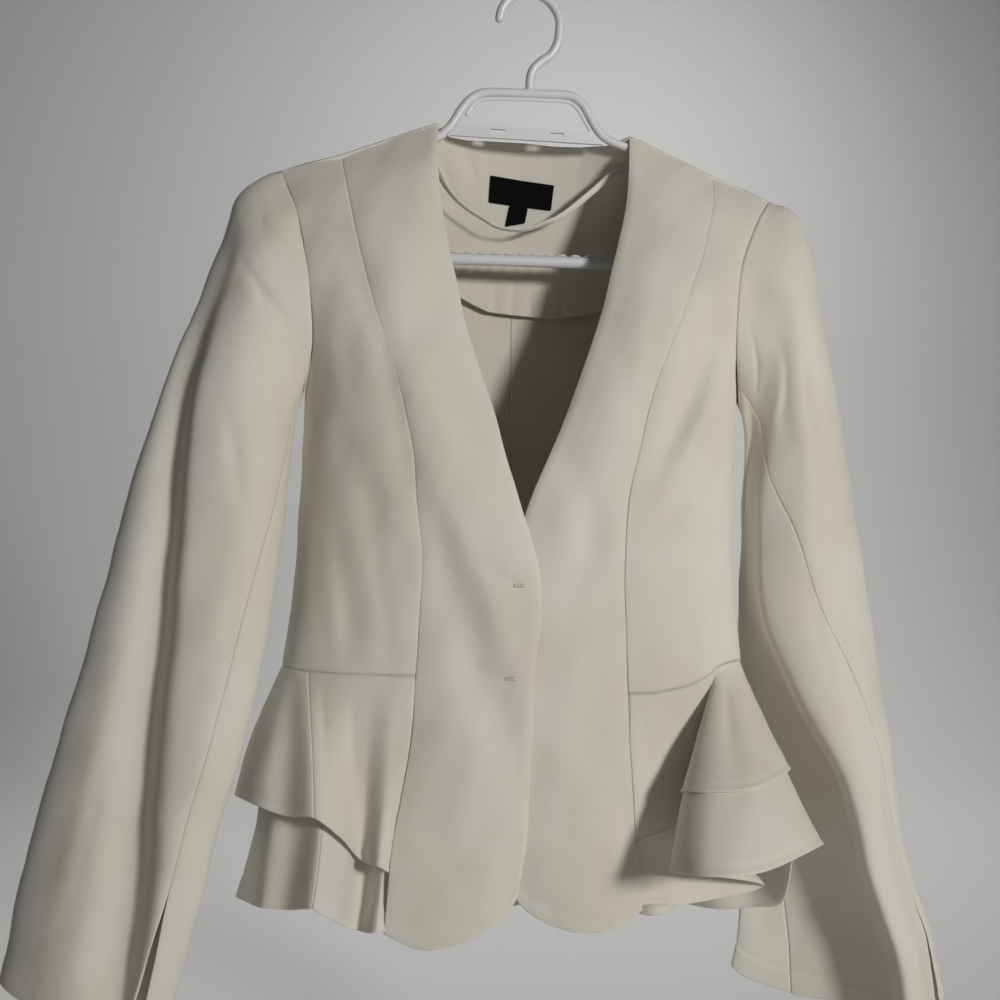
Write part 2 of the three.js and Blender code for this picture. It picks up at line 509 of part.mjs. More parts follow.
// Peplum: each row is a line of the cloth from the waist to the hems, from the princess seam round to the centre back.
// Columns: place along the waist (0 princess, 1 side seam, 2 centre back), x, y, z at the upper hem and at the lower hem.
const peplumLines = {
  right: [
    [0, -117, -83, -645, -119, -87, -687],
    [0.09, -124, -89, -637, -128, -94, -683],
    [0.22, -134, -72, -638, -138, -75, -688],
    [0.42, -148, -86, -616, -154, -94, -671],
    [0.62, -167, -92, -599, -170, -102, -660],
    [0.76, -187, -72, -603, -189, -78, -669],
    [0.87, -205, -62, -599, -207, -70, -670],
    [0.95, -220, -36, -600, -218, -42, -677],
    [1, -226, -8, -606, -225, -12, -686],
    [1.08, -222, 14, -612, -230, 16, -694],
    [1.22, -196, 22, -618, -204, 20, -702],
    [1.36, -168, 48, -622, -176, 52, -708],
    [1.5, -136, 32, -628, -140, 30, -713],
    [1.62, -104, 49, -630, -106, 53, -717],
    [1.75, -70, 34, -633, -72, 31, -720],
    [1.88, -38, 48, -634, -38, 52, -722],
    [2, -7, 40, -635, -7, 39, -723],
  ],
  left: [
    [0, 70, -79, -637, 71, -82, -683],
    [0.12, 83, -70, -634, 87, -73, -683],
    [0.26, 102, -56, -633, 115, -54, -693],
    [0.44, 134, -46, -624, 177, -45, -687],
    [0.53, 96, -94, -592, 81, -113, -642],
    [0.58, 106, -120, -585, 90, -158, -629],
    [0.72, 143, -120, -583, 134, -160, -628],
    [0.88, 181, -86, -582, 199, -110, -630],
    [0.96, 190, -38, -598, 206, -46, -661],
    [1, 189, -4, -619, 214, -3, -715],
    [1.1, 179, 14, -630, 198, 17, -727],
    [1.24, 158, 28, -634, 168, 26, -731],
    [1.38, 134, 48, -638, 142, 52, -735],
    [1.52, 106, 32, -640, 112, 30, -735],
    [1.66, 76, 50, -640, 78, 54, -732],
    [1.78, 44, 34, -638, 46, 31, -728],
    [1.9, 18, 47, -636, 18, 50, -725],
    [2, -7, 40, -635, -7, 39, -723],
  ],
};
const tierShare = 0.62; // the upper hem lies at this share of the way to the lower hem
const edgeShare = { right: 0.82, left: 0.745 }; // and at this share of the way down the princess seam
const flareStart = 1.3; // the flare begins gently under the waist seam: 1 would be straight from it
const tierGap = 0.9; // air between the two tiers
const peplumSeam = { right: 0.62, left: 0.95 }; // where the side seam of the tiers meets the waist

// Point of the waist seam at w (0 princess, 1 side seam, 2 centre back), or the body's normal there.
function waistPoint(half, w, kind = "points") {
  const from = kind === "points" ? sheets : normals;
  const front = from[`front_side_${half}`][20];
  const back = from[`back_${half}`][20];
  if (w <= 1) return along(front, clamp(w, 0, 1) * (front.length - 1));
  const u = 2 - w; // share across the back from the centre
  let i = 0;
  while (i < backColumns.length - 2 && u > backColumns[i + 1]) i += 1;
  return mix(back[i], back[i + 1], clamp((u - backColumns[i]) / (backColumns[i + 1] - backColumns[i]), 0, 1));
}
const peplumKnots = {};
for (const half of halves) {
  let sum = 0;
  peplumKnots[half] = peplumLines[half].map((row, k, all) => {
    if (k > 0) sum += Math.hypot(...sub(row.slice(1, 4), all[k - 1].slice(1, 4))) ** 0.75;
    return sum;
  });
}

// The centre front's princess edge below the waist, which the tiers are sewn to, with its normals.
const princessEdge = {};
for (const half of halves) {
  const name = `front_centre_${half}`;
  princessEdge[half] = { points: sheets[name].slice(20).map((r) => r[7]), normals: normals[name].slice(20).map((r) => r[7]) };
}

// Point on the peplum: s runs along the knots from the princess seam, h from the waist (0) to the lower hem (1).
function peplumPoint(half, s, h) {
  const rows = peplumLines[half];
  const row = smooth(rows, s, peplumKnots[half]);
  const top = waistPoint(half, row[0]);
  const [hem1, hem2] = [row.slice(1, 4), row.slice(4, 7)];
  const p = top.map((v, i) => fall(h, v, hem1[i], hem2[i], i < 2 ? flareStart : 1));
  const fade = clamp(1 - s / (peplumKnots[half][1] * 1.5), 0, 1);
  if (!fade) return p;
  const edge = along(princessEdge[half].points, 8 * edgeFall(half, h));
  const start = waistPoint(half, 0).map((v, i) => fall(h, v, rows[0][1 + i], rows[0][4 + i], i < 2 ? flareStart : 1));
  return add(p, scale(sub(edge, start), fade));
}

// Runs from top (h 0) through the upper hem's value (h at tierShare) to the lower hem's (h 1), starting as h to the power.
function fall(h, top, hem1, hem2, power) {
  const k = tierShare;
  const b = ((hem1 - top) / k ** power - (hem2 - top)) / (k - 1);
  return top + h ** power * (hem2 - top - b + b * h);
}
const edgeFall = (half, h) => fall(h, 0, edgeShare[half], 1, 1);

function knotAt(half, w) {
  // the place along the knots where the waist column reaches w
  const rows = peplumLines[half];
  let [lo, hi] = [0, peplumKnots[half][rows.length - 1]];
  for (let k = 0; k < 40; k += 1) {
    const mid = (lo + hi) / 2;
    if (smooth(rows, mid, peplumKnots[half])[0] < w) lo = mid; else hi = mid;
  }
  return (lo + hi) / 2;
}
const peplumSize = { right: [18, 20], left: [26, 16] }; // columns of the front and the back piece
const tiers = {};
const peplumAxis = (p) => [clamp(p[0], -60, 60), 0, p[2] + 40];
for (const half of halves) {
  const end = peplumKnots[half][peplumLines[half].length - 1];
  const split = knotAt(half, peplumSeam[half]);
  const [frontSize, backSize] = peplumSize[half];
  const places = [...steps(frontSize, 0, split), ...steps(backSize, split, end).slice(1)];
  const lines = [...steps(5, 0, tierShare), ...steps(3, tierShare, 1).slice(1)];
  const whole = lines.map((h) => places.map((v) => peplumPoint(half, v, h)));
  const all = normalsOf(whole, peplumAxis);
  // The top edge is sewn to the body: its normal is joined with the body's at the waist.
  all[0] = all[0].map((v, i) => {
    const w = clamp(smooth(peplumLines[half], places[i], peplumKnots[half])[0], 0, 2);
    return unit(add(scale(v, 0.5), unit(waistPoint(half, w, "normals"))));
  });
  all.forEach((row, j) => { row[0] = unit(along(princessEdge[half].normals, 8 * edgeFall(half, lines[j]))); });
  tiers[half] = { whole, all, frontSize };
}
tiers.right.all.forEach((row, j) => {
  const other = tiers.left.all[j];
  const n = unit(add(row[row.length - 1], other[other.length - 1]));
  row[row.length - 1] = n;
  other[other.length - 1] = n;
});
for (const half of halves) {
  const { whole, all, frontSize } = tiers[half];
  const [length, width] = [whole.length, whole[0].length];
  for (const tier of ["upper", "lower"]) {
    const count = tier === "upper" ? 6 : length;
    const [grid, n] = [whole.slice(0, count), all.slice(0, count)];
    const sunk = tier === "lower" ? wall + tierGap : 0;
    const moved = grid.map((row, j) => row.map((p, i) => sub(p, scale(n[j][i], sunk))));
    const pieces = { front: [0, frontSize + 1], back: [frontSize, width] };
    for (const [piece, [from, to]] of Object.entries(pieces)) {
      const name = `peplum_${tier}_${piece}_${half}`;
      sheets[name] = moved.map((row) => row.slice(from, to));
      normals[name] = n.map((row) => row.slice(from, to).map((v) => [...v]));
    }
  }
}
// Which sides of each sheet stop short of a seam.
const seamSides = {
  front_centre: { top: seam, right: seam },
  front_side: { top: seam, left: seam, right: seam, bottom: seam },
  back: { top: seam, left: seam, right: seam, bottom: seam },
  sleeve_top: { top: seam + 0.05, left: seam + 0.04, right: seam + 0.04 },
  sleeve_under: { top: seam + 0.05, left: seam + 0.04, right: seam + 0.04 },
  peplum_upper_front: { top: seam + 0.3, left: seam, right: seam },
  peplum_upper_back: { top: seam + 0.3, left: seam, right: seam },
  peplum_lower_front: { top: 1.2, left: seam, right: seam },
  peplum_lower_back: { top: 1.2, left: seam, right: seam },
};
for (const [name, grid] of Object.entries(sheets)) {
  const kind = name.replace(/_(right|left)$/, "");
  addSheet(name, inset(grid, seamSides[kind]), normals[name]);
}

// Back neck facing: one piece inside the back, made from the back's points and hanging freer towards its lower edge.
const facingTop = [[0, 0.1], [0.18, 0.12], [0.26, 0.4], [0.34, 0.95], [0.5, 1.6]]; // place across, row of the upper edge
const facingHem = { // place across, row of the lower edge
  right: [[0, 3.5], [0.08, 3.42], [0.14, 3.26], [0.2, 3.08], [0.32, 2.8], [0.5, 2.3]],
  left: [[0, 3.5], [0.12, 3.5], [0.27, 3.33], [0.38, 3.1], [0.5, 2.7]],
};
const facingWide = 0.5;
function facingPoint(w, v, lift = 0) {
  const onBack = (place, row) => backPanel(place < 0 ? "right" : "left", Math.abs(place) * facingWide, row);
  const u = Math.abs(w) * facingWide;
  const hem = lookup(facingHem[w < 0 ? "right" : "left"], u);
  const t = lookup(facingTop, u) + (hem - lookup(facingTop, u)) * v;
  const n = unit(cross(sub(onBack(w, t + 0.04), onBack(w, t - 0.04)), sub(onBack(w + 0.04, t), onBack(w - 0.04, t))));
  const inward = n[1] > 0 ? scale(n, -1) : n;
  return { p: add(onBack(w, t), scale(inward, wall + 0.9 + 3.2 * v ** 2 + lift)), n: inward };
}
{
  const cells = steps(8).map((v) => steps(16, -1, 1).map((w) => facingPoint(w, v, 1)));
  addSheet("back_neck_facing", cells.map((r) => r.map((c) => c.p)), cells.map((r) => r.map((c) => c.n)), cloth, 1);
}

// Places a small flat piece on the facing: corners are [x, z] in order round it, lift is its height off the facing.
function facingAt(x, z) {
  let [w, v] = [x / 80, clamp((z + 100) / -130, 0, 1)];
  for (let k = 0; k < 60; k += 1) {
    const { p } = facingPoint(w, v);
    w += (x - p[0]) / 160;
    v += (p[2] - z) / 260;
  }
  return facingPoint(w, v);
}
function onFacing(name, corners, size, lift, thick, material) {
  const rows = steps(size[1]).map((v) => steps(size[0]).map((u) => {
    const top = mix(corners[0], corners[1], u);
    const low = mix(corners[3], corners[2], u);
    const [x, z] = mix(top, low, v);
    const { p, n } = facingAt(x, z);
    return { p: add(p, scale(n, 1 + lift + thick)), n };
  }));
  addSheet(name, rows.map((r) => r.map((c) => c.p)), rows.map((r) => r.map((c) => c.n)), material, thick);
}
onFacing("label", [[-26, -129], [25, -135], [23, -154], [-27, -149]], [8, 3], 0.5, 0.8, labelCloth);
onFacing("size_tab", [[-10, -151.9], [4, -153.4], [2, -164], [-13, -167]], [3, 3], 0.5, 1.2, labelCloth);

// A tube along points, with a given number of sides; radii is [across, up] at each point or one pair for all.
function addTube(name, path, radii, sides, material, flat = null) {
  const points = [];
  const faces = [];
  let reference = flat ?? [0, 1, 0];
  path.forEach((p, k) => {
    const ahead = unit(sub(path[Math.min(path.length - 1, k + 1)], path[Math.max(0, k - 1)]));
    const a = unit(sub(reference, scale(ahead, dot(reference, ahead))));
    if (!flat) reference = a;
    const b = cross(ahead, a);
    const [ra, rb] = Array.isArray(radii[0]) ? radii[k] : radii;
    for (let i = 0; i < sides; i += 1) {
      const turn = (2 * Math.PI * (i + 0.5)) / sides;
      points.push(add(p, add(scale(a, ra * Math.cos(turn)), scale(b, rb * Math.sin(turn)))));
    }
  });
  const rings = path.length;
  for (let k = 0; k < rings - 1; k += 1) {
    for (let i = 0; i < sides; i += 1) {
      const a = k * sides + i;
      const b = k * sides + ((i + 1) % sides);
      faces.push([a, b, b + sides], [a, b + sides, a + sides]);
    }
  }
  for (let i = 1; i < sides - 1; i += 1) {
    faces.push([0, i + 1, i]);
    const e = (rings - 1) * sides;
    faces.push([e, e + i, e + i + 1]);
  }
  addMesh(name, points, faces, material);
}

// Hanging loop: a satin ribbon 5 mm wide between the shoulders, in front of the facing. Columns: x, y, z.
const loopPath = [
  [-72, 8, -128], [-64, 9, -143], [-52, 10, -156], [-34, 12, -167], [-21, 13, -173], [-2, 13, -174], [15, 13, -168],
  [30, 12, -161], [51, 10, -144], [73, 8, -126],
];
for (const [half, place] of [["right", 0], ["left", loopPath.length]]) {
  // each end is caught in the shoulder seam: it starts on the inside of the back, just under that seam
  const p = backPanel(half, 0.42, 0.4);
  const n = unit(cross(sub(backPanel(half, 0.45, 0.4), p), sub(backPanel(half, 0.42, 0.5), p)));
  loopPath.splice(place, 0, add(p, scale(n, (n[1] > 0 ? -1 : 1) * (wall + 1.3))));
}
addTube("hanging_loop", steps(30, 0, loopPath.length - 1).map((t) => smooth(loopPath, t)), [0.5, 2.5], 4, satin, [0, 1, 0]);

// Fastening bars: two hand-sewn thread bars on the right front, 10 mm long. Columns: x, z of the middle.
for (const [k, [x, z]] of [[-19, -443], [-26, -511]].entries()) {
  let [u, t] = [0.2, k ? 10 : 8.6];
  for (let n = 0; n < 80; n += 1) {
    const p = centreFront("right", u, t);
    u += (p[0] - x) / 240;
    t += (p[2] - z) / 90;
  }
  const path = steps(4, -1, 1).map((v) => {
    const p = centreFront("right", u + 0.055 * v, t);
    return [p[0], p[1] - 1.2, p[2]];
  });
  addTube(`fastening_bar_${k + 1}`, path, [0.8, 0.8], 6, cloth);
}

// Hanger. The hook is a 7 mm rod bent round the wall peg; its inner top is the origin.
const hookRadius = 23.6;
const rod = 3.5;
const hookCentre = [0, 0, -hookRadius + rod];
{
  const turns = steps(12, 172, -10).map((deg) => (deg * Math.PI) / 180);
  const bow = turns.map((a) => add(hookCentre, [hookRadius * Math.cos(a), 0, hookRadius * Math.sin(a)]));
  const neck = [[22, 0, -33], [17, 0, -42], [9, 0, -48], [3, 0, -54], [0.5, 0, -61], [0, 0, -68]];
  addTube("hanger_hook", [...bow, ...neck], [rod, rod], 8, plastic);
}

// Frame: an arch under the hook runs down into the two arms, which lie inside the shoulders.
const armDrop = 12; // how far the arm's centre line is below the shoulder seam
const armPath = (half) => {
  const [x0, , z0, , , , x1, , z1] = bodyOf[half][0];
  const out = Math.sign(x1);
  return [[x0 + 3 * out, 0, z0 - armDrop], [(x0 + x1) / 2, 0, (z0 + z1) / 2 - armDrop - 1], [x1 - 9 * out, 0, z1 - armDrop - 3]];
};
const archRight = [[-10, 0, -72.4], [-34, 0, -73], [-45, 0, -78], [-53, 0, -87], [-60, 0, -98], [-66, 0, -104]];
const archLeft = [[10, 0, -72.2], [31, 0, -72.5], [41, 0, -78], [47, 0, -87], [53, 0, -97], [62, 0, -105]];
addTube("hanger_frame", [...armPath("right").reverse(), ...archRight.reverse(), ...archLeft, ...armPath("left")],
  [3, 3.4], 8, plastic);

// Flat bar across the arch, with two small slots through it.
{
  const outline = new THREE.Shape([[-55.3, -97.6], [-61.3, -106.4], [58.3, -109.2], [49.5, -99.4]].map(([x, z]) => new THREE.Vector2(x, z)));
  for (const x of [-24.5, 21.5]) {
    const z = -102.3 - (x + 24.5) * 0.022;
    const slot = [[-5.5, -1.7], [-5.5, 1.7], [5.5, 1.7], [5.5, -1.7]].map(([a, b]) => new THREE.Vector2(x + a, z + b - a * 0.02));
    outline.holes.push(new THREE.Path(slot));
  }
  const geometry = new THREE.ExtrudeGeometry(outline, { depth: 3, bevelEnabled: false });
  geometry.rotateX(Math.PI / 2);
  geometry.translate(0, 1.5, 0);
  const mesh = new THREE.Mesh(geometry, plastic);
  mesh.name = "hanger_flat_bar";
  group.add(mesh);
}

// Round bar for trousers, carried on two struts from the arms, with a row of small nubs on top.
{
  const bar = [[-150, 0, -144.8], [-149, 0, -170], [-141, 0, -188], [-124, 0, -198], [-100, 0, -199]];
  const end = [[100, 0, -201], [126, 0, -201], [145, 0, -192], [153, 0, -176], [154, 0, -152.5]];
  addTube("hanger_bar", [...bar, ...end], [4.5, 4.5], 10, plastic);
  steps(11, -58, 57.5).forEach((x, k) => {
    const z = -199 - (x + 100) * 0.01 + 4.9;
    addTube(`hanger_nub_${k + 1}`, [[x - 2.2, 0, z], [x - 1.4, 0, z + 1.6], [x + 1.4, 0, z + 1.6], [x + 2.2, 0, z]],
      [1.6, 0.5], 4, plastic);
  });
}

export default group;
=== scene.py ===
import bpy
import numpy as np
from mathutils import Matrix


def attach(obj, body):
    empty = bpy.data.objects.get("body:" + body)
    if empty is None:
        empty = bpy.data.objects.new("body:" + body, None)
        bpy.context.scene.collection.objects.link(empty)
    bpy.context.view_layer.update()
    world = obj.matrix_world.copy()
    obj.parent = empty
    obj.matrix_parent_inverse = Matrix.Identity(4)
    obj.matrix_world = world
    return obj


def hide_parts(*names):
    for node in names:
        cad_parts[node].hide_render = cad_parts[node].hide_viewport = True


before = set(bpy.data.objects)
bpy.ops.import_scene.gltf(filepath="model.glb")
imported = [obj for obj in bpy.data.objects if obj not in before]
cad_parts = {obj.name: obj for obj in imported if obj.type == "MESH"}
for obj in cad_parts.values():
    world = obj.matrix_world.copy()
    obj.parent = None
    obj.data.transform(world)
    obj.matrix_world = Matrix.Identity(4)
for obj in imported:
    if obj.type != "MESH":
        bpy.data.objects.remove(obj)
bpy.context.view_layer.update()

# The centre fronts: two full-length panels of ivory stretch twill, from the shoulder to the rounded hem
# corner. The wearer's right one laps over the left. Each is a wall of cloth, folded at its front edge and
# sewn at its princess seam.
MM = 0.001
WALL = 1.6
LAP_GAP = WALL + 2.0
HALVES = ("right", "left")
UNDERARM, WAIST, HEM = 5, 10, 14  # rows of the body's sections
CORNER_START, CORNER_ROWS = 11.6, 2.4  # row where the hem corner begins to round, and rows that it takes
SHOULDER_BULGE = 12  # the front's middle stands forward by this much below the shoulder

# Sections from the shoulder (row 0) by the underarm to the waist: x, y, z of the front edge, of the
# princess seam and of the armhole or side seam.
BODY = {
    "right": [
        [-71, 0, -97, -144, 0, -123, -188, 0, -137],
        [-73, -18, -129, -138, -28, -163, -177, -24, -169],
        [-70, -33, -173, -132, -45, -198, -171, -36, -200],
        [-63, -44, -216, -123, -59, -237, -167, -42, -234],
        [-53, -54, -264, -112, -67, -276, -166, -38, -270],
        [-39, -61, -309, -103, -71, -309, -172, -17, -301],
        [-30, -65, -343, -96, -71, -345, -174, -13, -338],
        [-19, -68, -381, -93, -69, -381, -177, -12, -383],
        [-6, -70, -425, -89, -66, -422, -180, -12, -428],
        [-3, -70, -465, -91, -63, -464, -185, -12, -467],
        [-8, -71, -507, -94, -64, -508, -191, -12, -508],
    ],
    "left": [
        [80, 0, -101, 148, 0, -130, 194, 0, -148],
        [75, -17, -132, 138, -27, -163, 176, -22, -169],
        [69, -28, -166, 127, -41, -196, 161, -34, -199],
        [57, -40, -207, 111, -54, -233, 155, -40, -232],
        [44, -49, -251, 95, -62, -270, 155, -36, -267],
        [27, -56, -296, 81, -66, -306, 163, -17, -311],
        [10, -60, -338, 72, -66, -342, 163, -13, -343],
        [-8, -64, -378, 64, -64, -382, 163, -12, -386],
        [-21, -66, -418, 62, -61, -427, 163, -12, -434],
        [-29, -66, -461, 63, -58, -466, 165, -12, -474],
        [-33, -67, -507, 66, -58, -528, 171, -12, -516],
    ],
}
# The centre fronts below the waist (rows 11 to 14): x, y, z of the front edge and of the princess seam.
SKIRT = {
    "right": [
        [-11, -76, -551, -98, -70, -553],
        [-14, -80, -598, -106, -77, -594],
        [-16, -83, -630, -113, -82, -629],
        [-22, -84, -666, -119, -87, -687],
    ],
    "left": [
        [-31, -72, -552, 65, -66, -564],
        [-29, -77, -598, 66, -73, -600],
        [-27, -80, -634, 68, -78, -636],
        [-24, -82, -670, 71, -82, -683],
    ],
}
# The rounded hem corner: place across the panel, drop below the straight line.
HEM_DROP = {
    "right": [[0, 0], [0.06, 8], [0.13, 13], [0.25, 17.5], [0.38, 19.5], [0.55, 20], [0.67, 19], [0.8, 14],
              [0.9, 7], [1, 0]],
    "left": [[0, 0], [0.1, 9], [0.25, 16], [0.45, 19], [0.65, 17], [0.8, 12], [0.92, 5], [1, 0]],
}
# The large hollows of the fronts: x and z of each end, half width, depth.
HOLLOWS = {
    "right": [[-90, -400, -14, -610, 16, 3.5], [-140, -420, -132, -500, 12, 3],
              [-112, -300, -60, -200, 16, 3]],
    "left": [[136, -240, 84, -370, 12, 5], [152, -330, 120, -400, 9, 4], [44, -380, 20, -470, 14, 3]],
}


def ease(v):
    """Smooth step: 3 v^2 - 2 v^3 between 0 and 1, level outside."""
    v = np.clip(v, 0, 1)
    return v * v * (3 - 2 * v)


def smooth(rows, t, knots=None):
    """Cubic Hermite curve through table rows, each row's slope from its two neighbours; t is any array."""
    rows = np.asarray(rows, float)
    last = len(rows) - 1
    at = np.arange(last + 1.0) if knots is None else np.asarray(knots, float)
    t = np.asarray(t, float)
    i = np.clip(np.searchsorted(at, t) - 1, 0, last - 1)
    before, after = np.maximum(np.arange(last + 1) - 1, 0), np.minimum(np.arange(last + 1) + 1, last)
    slope = (rows[after] - rows[before]) / (at[after] - at[before])[:, None]
    span = (at[i + 1] - at[i])[..., None]
    f = (t[..., None] - at[i][..., None]) / span
    return (
        (2 * f**3 - 3 * f**2 + 1) * rows[i]
        + (f**3 - 2 * f**2 + f) * span * slope[i]
        + (3 * f**2 - 2 * f**3) * rows[i + 1]
        + (f**3 - f**2) * span * slope[i + 1]
    )


def lookup(table, v):
    """Straight-line reading of a table of [place, value]."""
    table = np.asarray(table, float)
    return np.interp(v, table[:, 0], table[:, 1])


def arc(a, b, corner, pull, u):
    """Quadratic Bezier from a to b, its control point the share `pull` of the way from middle to
    `corner`."""
    middle = (a + b) / 2
    control = middle + (corner - middle) * np.asarray(pull)[..., None]
    u = u[..., None]
    return (1 - u) ** 2 * a + 2 * u * (1 - u) * control + u**2 * b


def unit(v):
    """Vectors scaled to length 1."""
    return v / np.maximum(np.linalg.norm(v, axis=-1, keepdims=True), 1e-9)


def bell(d, width):
    """1 at the distance 0 and 1/e at the width: e to the power of -(d / width)^2."""
    return np.exp(-((d / width) ** 2))


def hollow_depth(table, x, z):
    """Sum of straight troughs: a bell across each line, faded at both ends by a sine to the power 1.5."""
    total = np.zeros_like(x)
    for x0, z0, x1, z1, width, depth in table:
        dx, dz = x1 - x0, z1 - z0
        length = np.hypot(dx, dz)
        t = ((x - x0) * dx + (z - z0) * dz) / length**2
        off = ((x - x0) * dz - (z - z0) * dx) / length
        fade = np.sin(np.pi * np.clip(0.5 + (t - 0.5) * 0.8, 0, 1)) ** 1.5
        total += depth * fade * bell(off, width)
    return total


def column(half, k):
    """One line of the body table: 0 front edge, 1 princess seam, 2 armhole and side seam."""
    return np.array(BODY[half], float)[:, 3 * k : 3 * k + 3]


def long_column(half, k):
    """The same line carried on down the skirt of the centre front."""
    return np.vstack([column(half, k), np.array(SKIRT[half], float)[:, 3 * k : 3 * k + 3]])


def hollowed(half, p, u):
    """Sinks a front panel's points by the hollows of its half, which fade out at u 0 and 1."""
    p[..., 1] += hollow_depth(HOLLOWS[half], p[..., 0], p[..., 2]) * np.sin(np.pi * np.clip(u, 0, 1)) ** 0.5
    return p


def centre_front(half, u, t):
    """Surface of a centre front: u from front edge (0) to princess seam (1), t rows from shoulder to
    hem."""
    edge, princess = smooth(long_column(half, 0), t), smooth(long_column(half, 1), t)
    bulge = (edge + princess) / 2
    bulge[..., 1] -= SHOULDER_BULGE * ease(t / 2)
    p = arc(edge, princess, bulge, np.ones_like(u), u)
    p[..., 2] -= lookup(HEM_DROP[half], u) * ease((t - CORNER_START) / CORNER_ROWS)
    return hollowed(half, p, u)


def crease_depth(table, a, b):
    """Signed depth of creases at the places (a, b). Each crease is a bent line of [a, b, half width, depth]
    points: a point takes the nearest place on the line and a bell of that width across it; positive sinks,
    negative stands up."""
    total = np.zeros_like(a)
    for crease in table:
        line = np.array(crease, float)
        nearest, value = np.full(a.shape, np.inf), np.zeros_like(a)
        for start, end in zip(line[:-1], line[1:]):
            da, db = end[0] - start[0], end[1] - start[1]
            f = np.clip(((a - start[0]) * da + (b - start[1]) * db) / (da * da + db * db), 0, 1)
            d2 = (a - start[0] - f * da) ** 2 + (b - start[1] - f * db) ** 2
            width, depth = (start[k] + f * (end[k] - start[k]) for k in (2, 3))
            value = np.where(d2 < nearest, depth * np.exp(-d2 / width**2), value)
            nearest = np.minimum(nearest, d2)
        total += value
    return total


# Waves of the worn cloth: direction x, y, z, then length, height and phase.
WAVES = [
    [0.8, 0.2, 0.55, 61, 0.34, 0.3], [-0.45, 0.3, 0.84, 47, 0.26, 1.9], [0.95, -0.2, -0.25, 33, 0.15, 4.1],
    [0.3, 0.6, 0.74, 25, 0.09, 2.7], [-0.7, 0.4, 0.6, 15, 0.04, 5.2],
]


def unevenness(p):
    """Slight unevenness of worn cloth in mm: a sum of plane waves, each bent by a slower one across it."""
    total = np.zeros(p.shape[:-1])
    for dx, dy, dz, length, height, phase in WAVES:
        along = p @ np.array([dx, dy, dz]) / length
        across = p @ np.array([dz, dx, dy]) / (2.7 * length)
        total += height * np.sin(2 * np.pi * along + phase + 1.6 * np.sin(2 * np.pi * across))
    return total


def lines_across(count, close=(0.006, 0.016)):
    """Grid lines from 0 to 1: even, with two more close to each end, where the cloth is folded or sewn."""
    even = np.linspace(0, 1, count)[1:-1]
    ends = np.array(close)
    return np.concatenate([[0], ends, even[(even > ends[-1]) & (even < 1 - ends[-1])], 1 - ends[::-1], [1]])


def grid_normals(grid, inside):
    """Unit normals from the grid's differences, turned away from the points `inside` on the whole."""
    n = unit(np.cross(np.gradient(grid, axis=1), np.gradient(grid, axis=0)))
    return n if np.sum(n * (grid - inside)) > 0 else -n


def reach(grid, axis, from_end=False):
    """Distance in mm along the cloth from its first (or last) row or column: the sum of the grid's
    steps."""
    step = np.linalg.norm(np.diff(grid, axis=axis), axis=-1)
    zero = np.zeros_like(np.take(step, [0], axis=axis))
    if from_end:
        return np.flip(np.cumsum(np.concatenate([zero, np.flip(step, axis)], axis), axis), axis)
    return np.cumsum(np.concatenate([zero, step], axis), axis)


# Marks of the making, each a depth and a width: the roll of the cloth into a seam and the puckered draw
# beside it, the rounding of a folded edge and the ridge behind it, the stitch line of a hem and the doubled
# cloth below it.
SEAM_ROLL, SEAM_DRAW = (0.3, 1.0), (0.2, 5)
FOLD_ROUND, FOLD_RIDGE = (0.35, 1.6), (0.25, 4)
HEM_LINE, HEM_DOUBLED = (0.45, 2.2), (0.4, 3)


def edge_marks(grid, seams="", hem_depth=0, folds=""):
    """How far the cloth is sunk (mm) by its making: bells at its seams and folded edges (t, b, l, r for
    top, bottom, left, right), their draw varied by a sine along the edge, and at hem_depth above its lower
    edge a stitch line."""
    side = {"t": (0, False), "b": (0, True), "l": (1, False), "r": (1, True)}
    sunk = np.zeros(grid.shape[:2])
    for name in seams:
        d, along = reach(grid, *side[name]), reach(grid, 1 - side[name][0])
        pucker = 1 + 0.35 * np.sin(along / 3.1 + 2 * np.sin(along / 17))
        sunk += SEAM_ROLL[0] * bell(d, SEAM_ROLL[1]) + SEAM_DRAW[0] * pucker * bell(d, SEAM_DRAW[1])
    for name in folds:
        d = reach(grid, *side[name])
        sunk += FOLD_ROUND[0] * bell(d, FOLD_ROUND[1]) - FOLD_RIDGE[0] * bell(d - 5, FOLD_RIDGE[1])
    if hem_depth:
        d, along = reach(grid, *side["b"]), reach(grid, 1)
        drawn = 1 + 0.5 * np.sin(along / 1.9) * np.sin(along / 7.3)
        sunk += HEM_LINE[0] * drawn * bell(d - hem_depth, HEM_LINE[1])
        sunk -= HEM_DOUBLED[0] * ease((hem_depth + 1 - d) / HEM_DOUBLED[1])
    return sunk


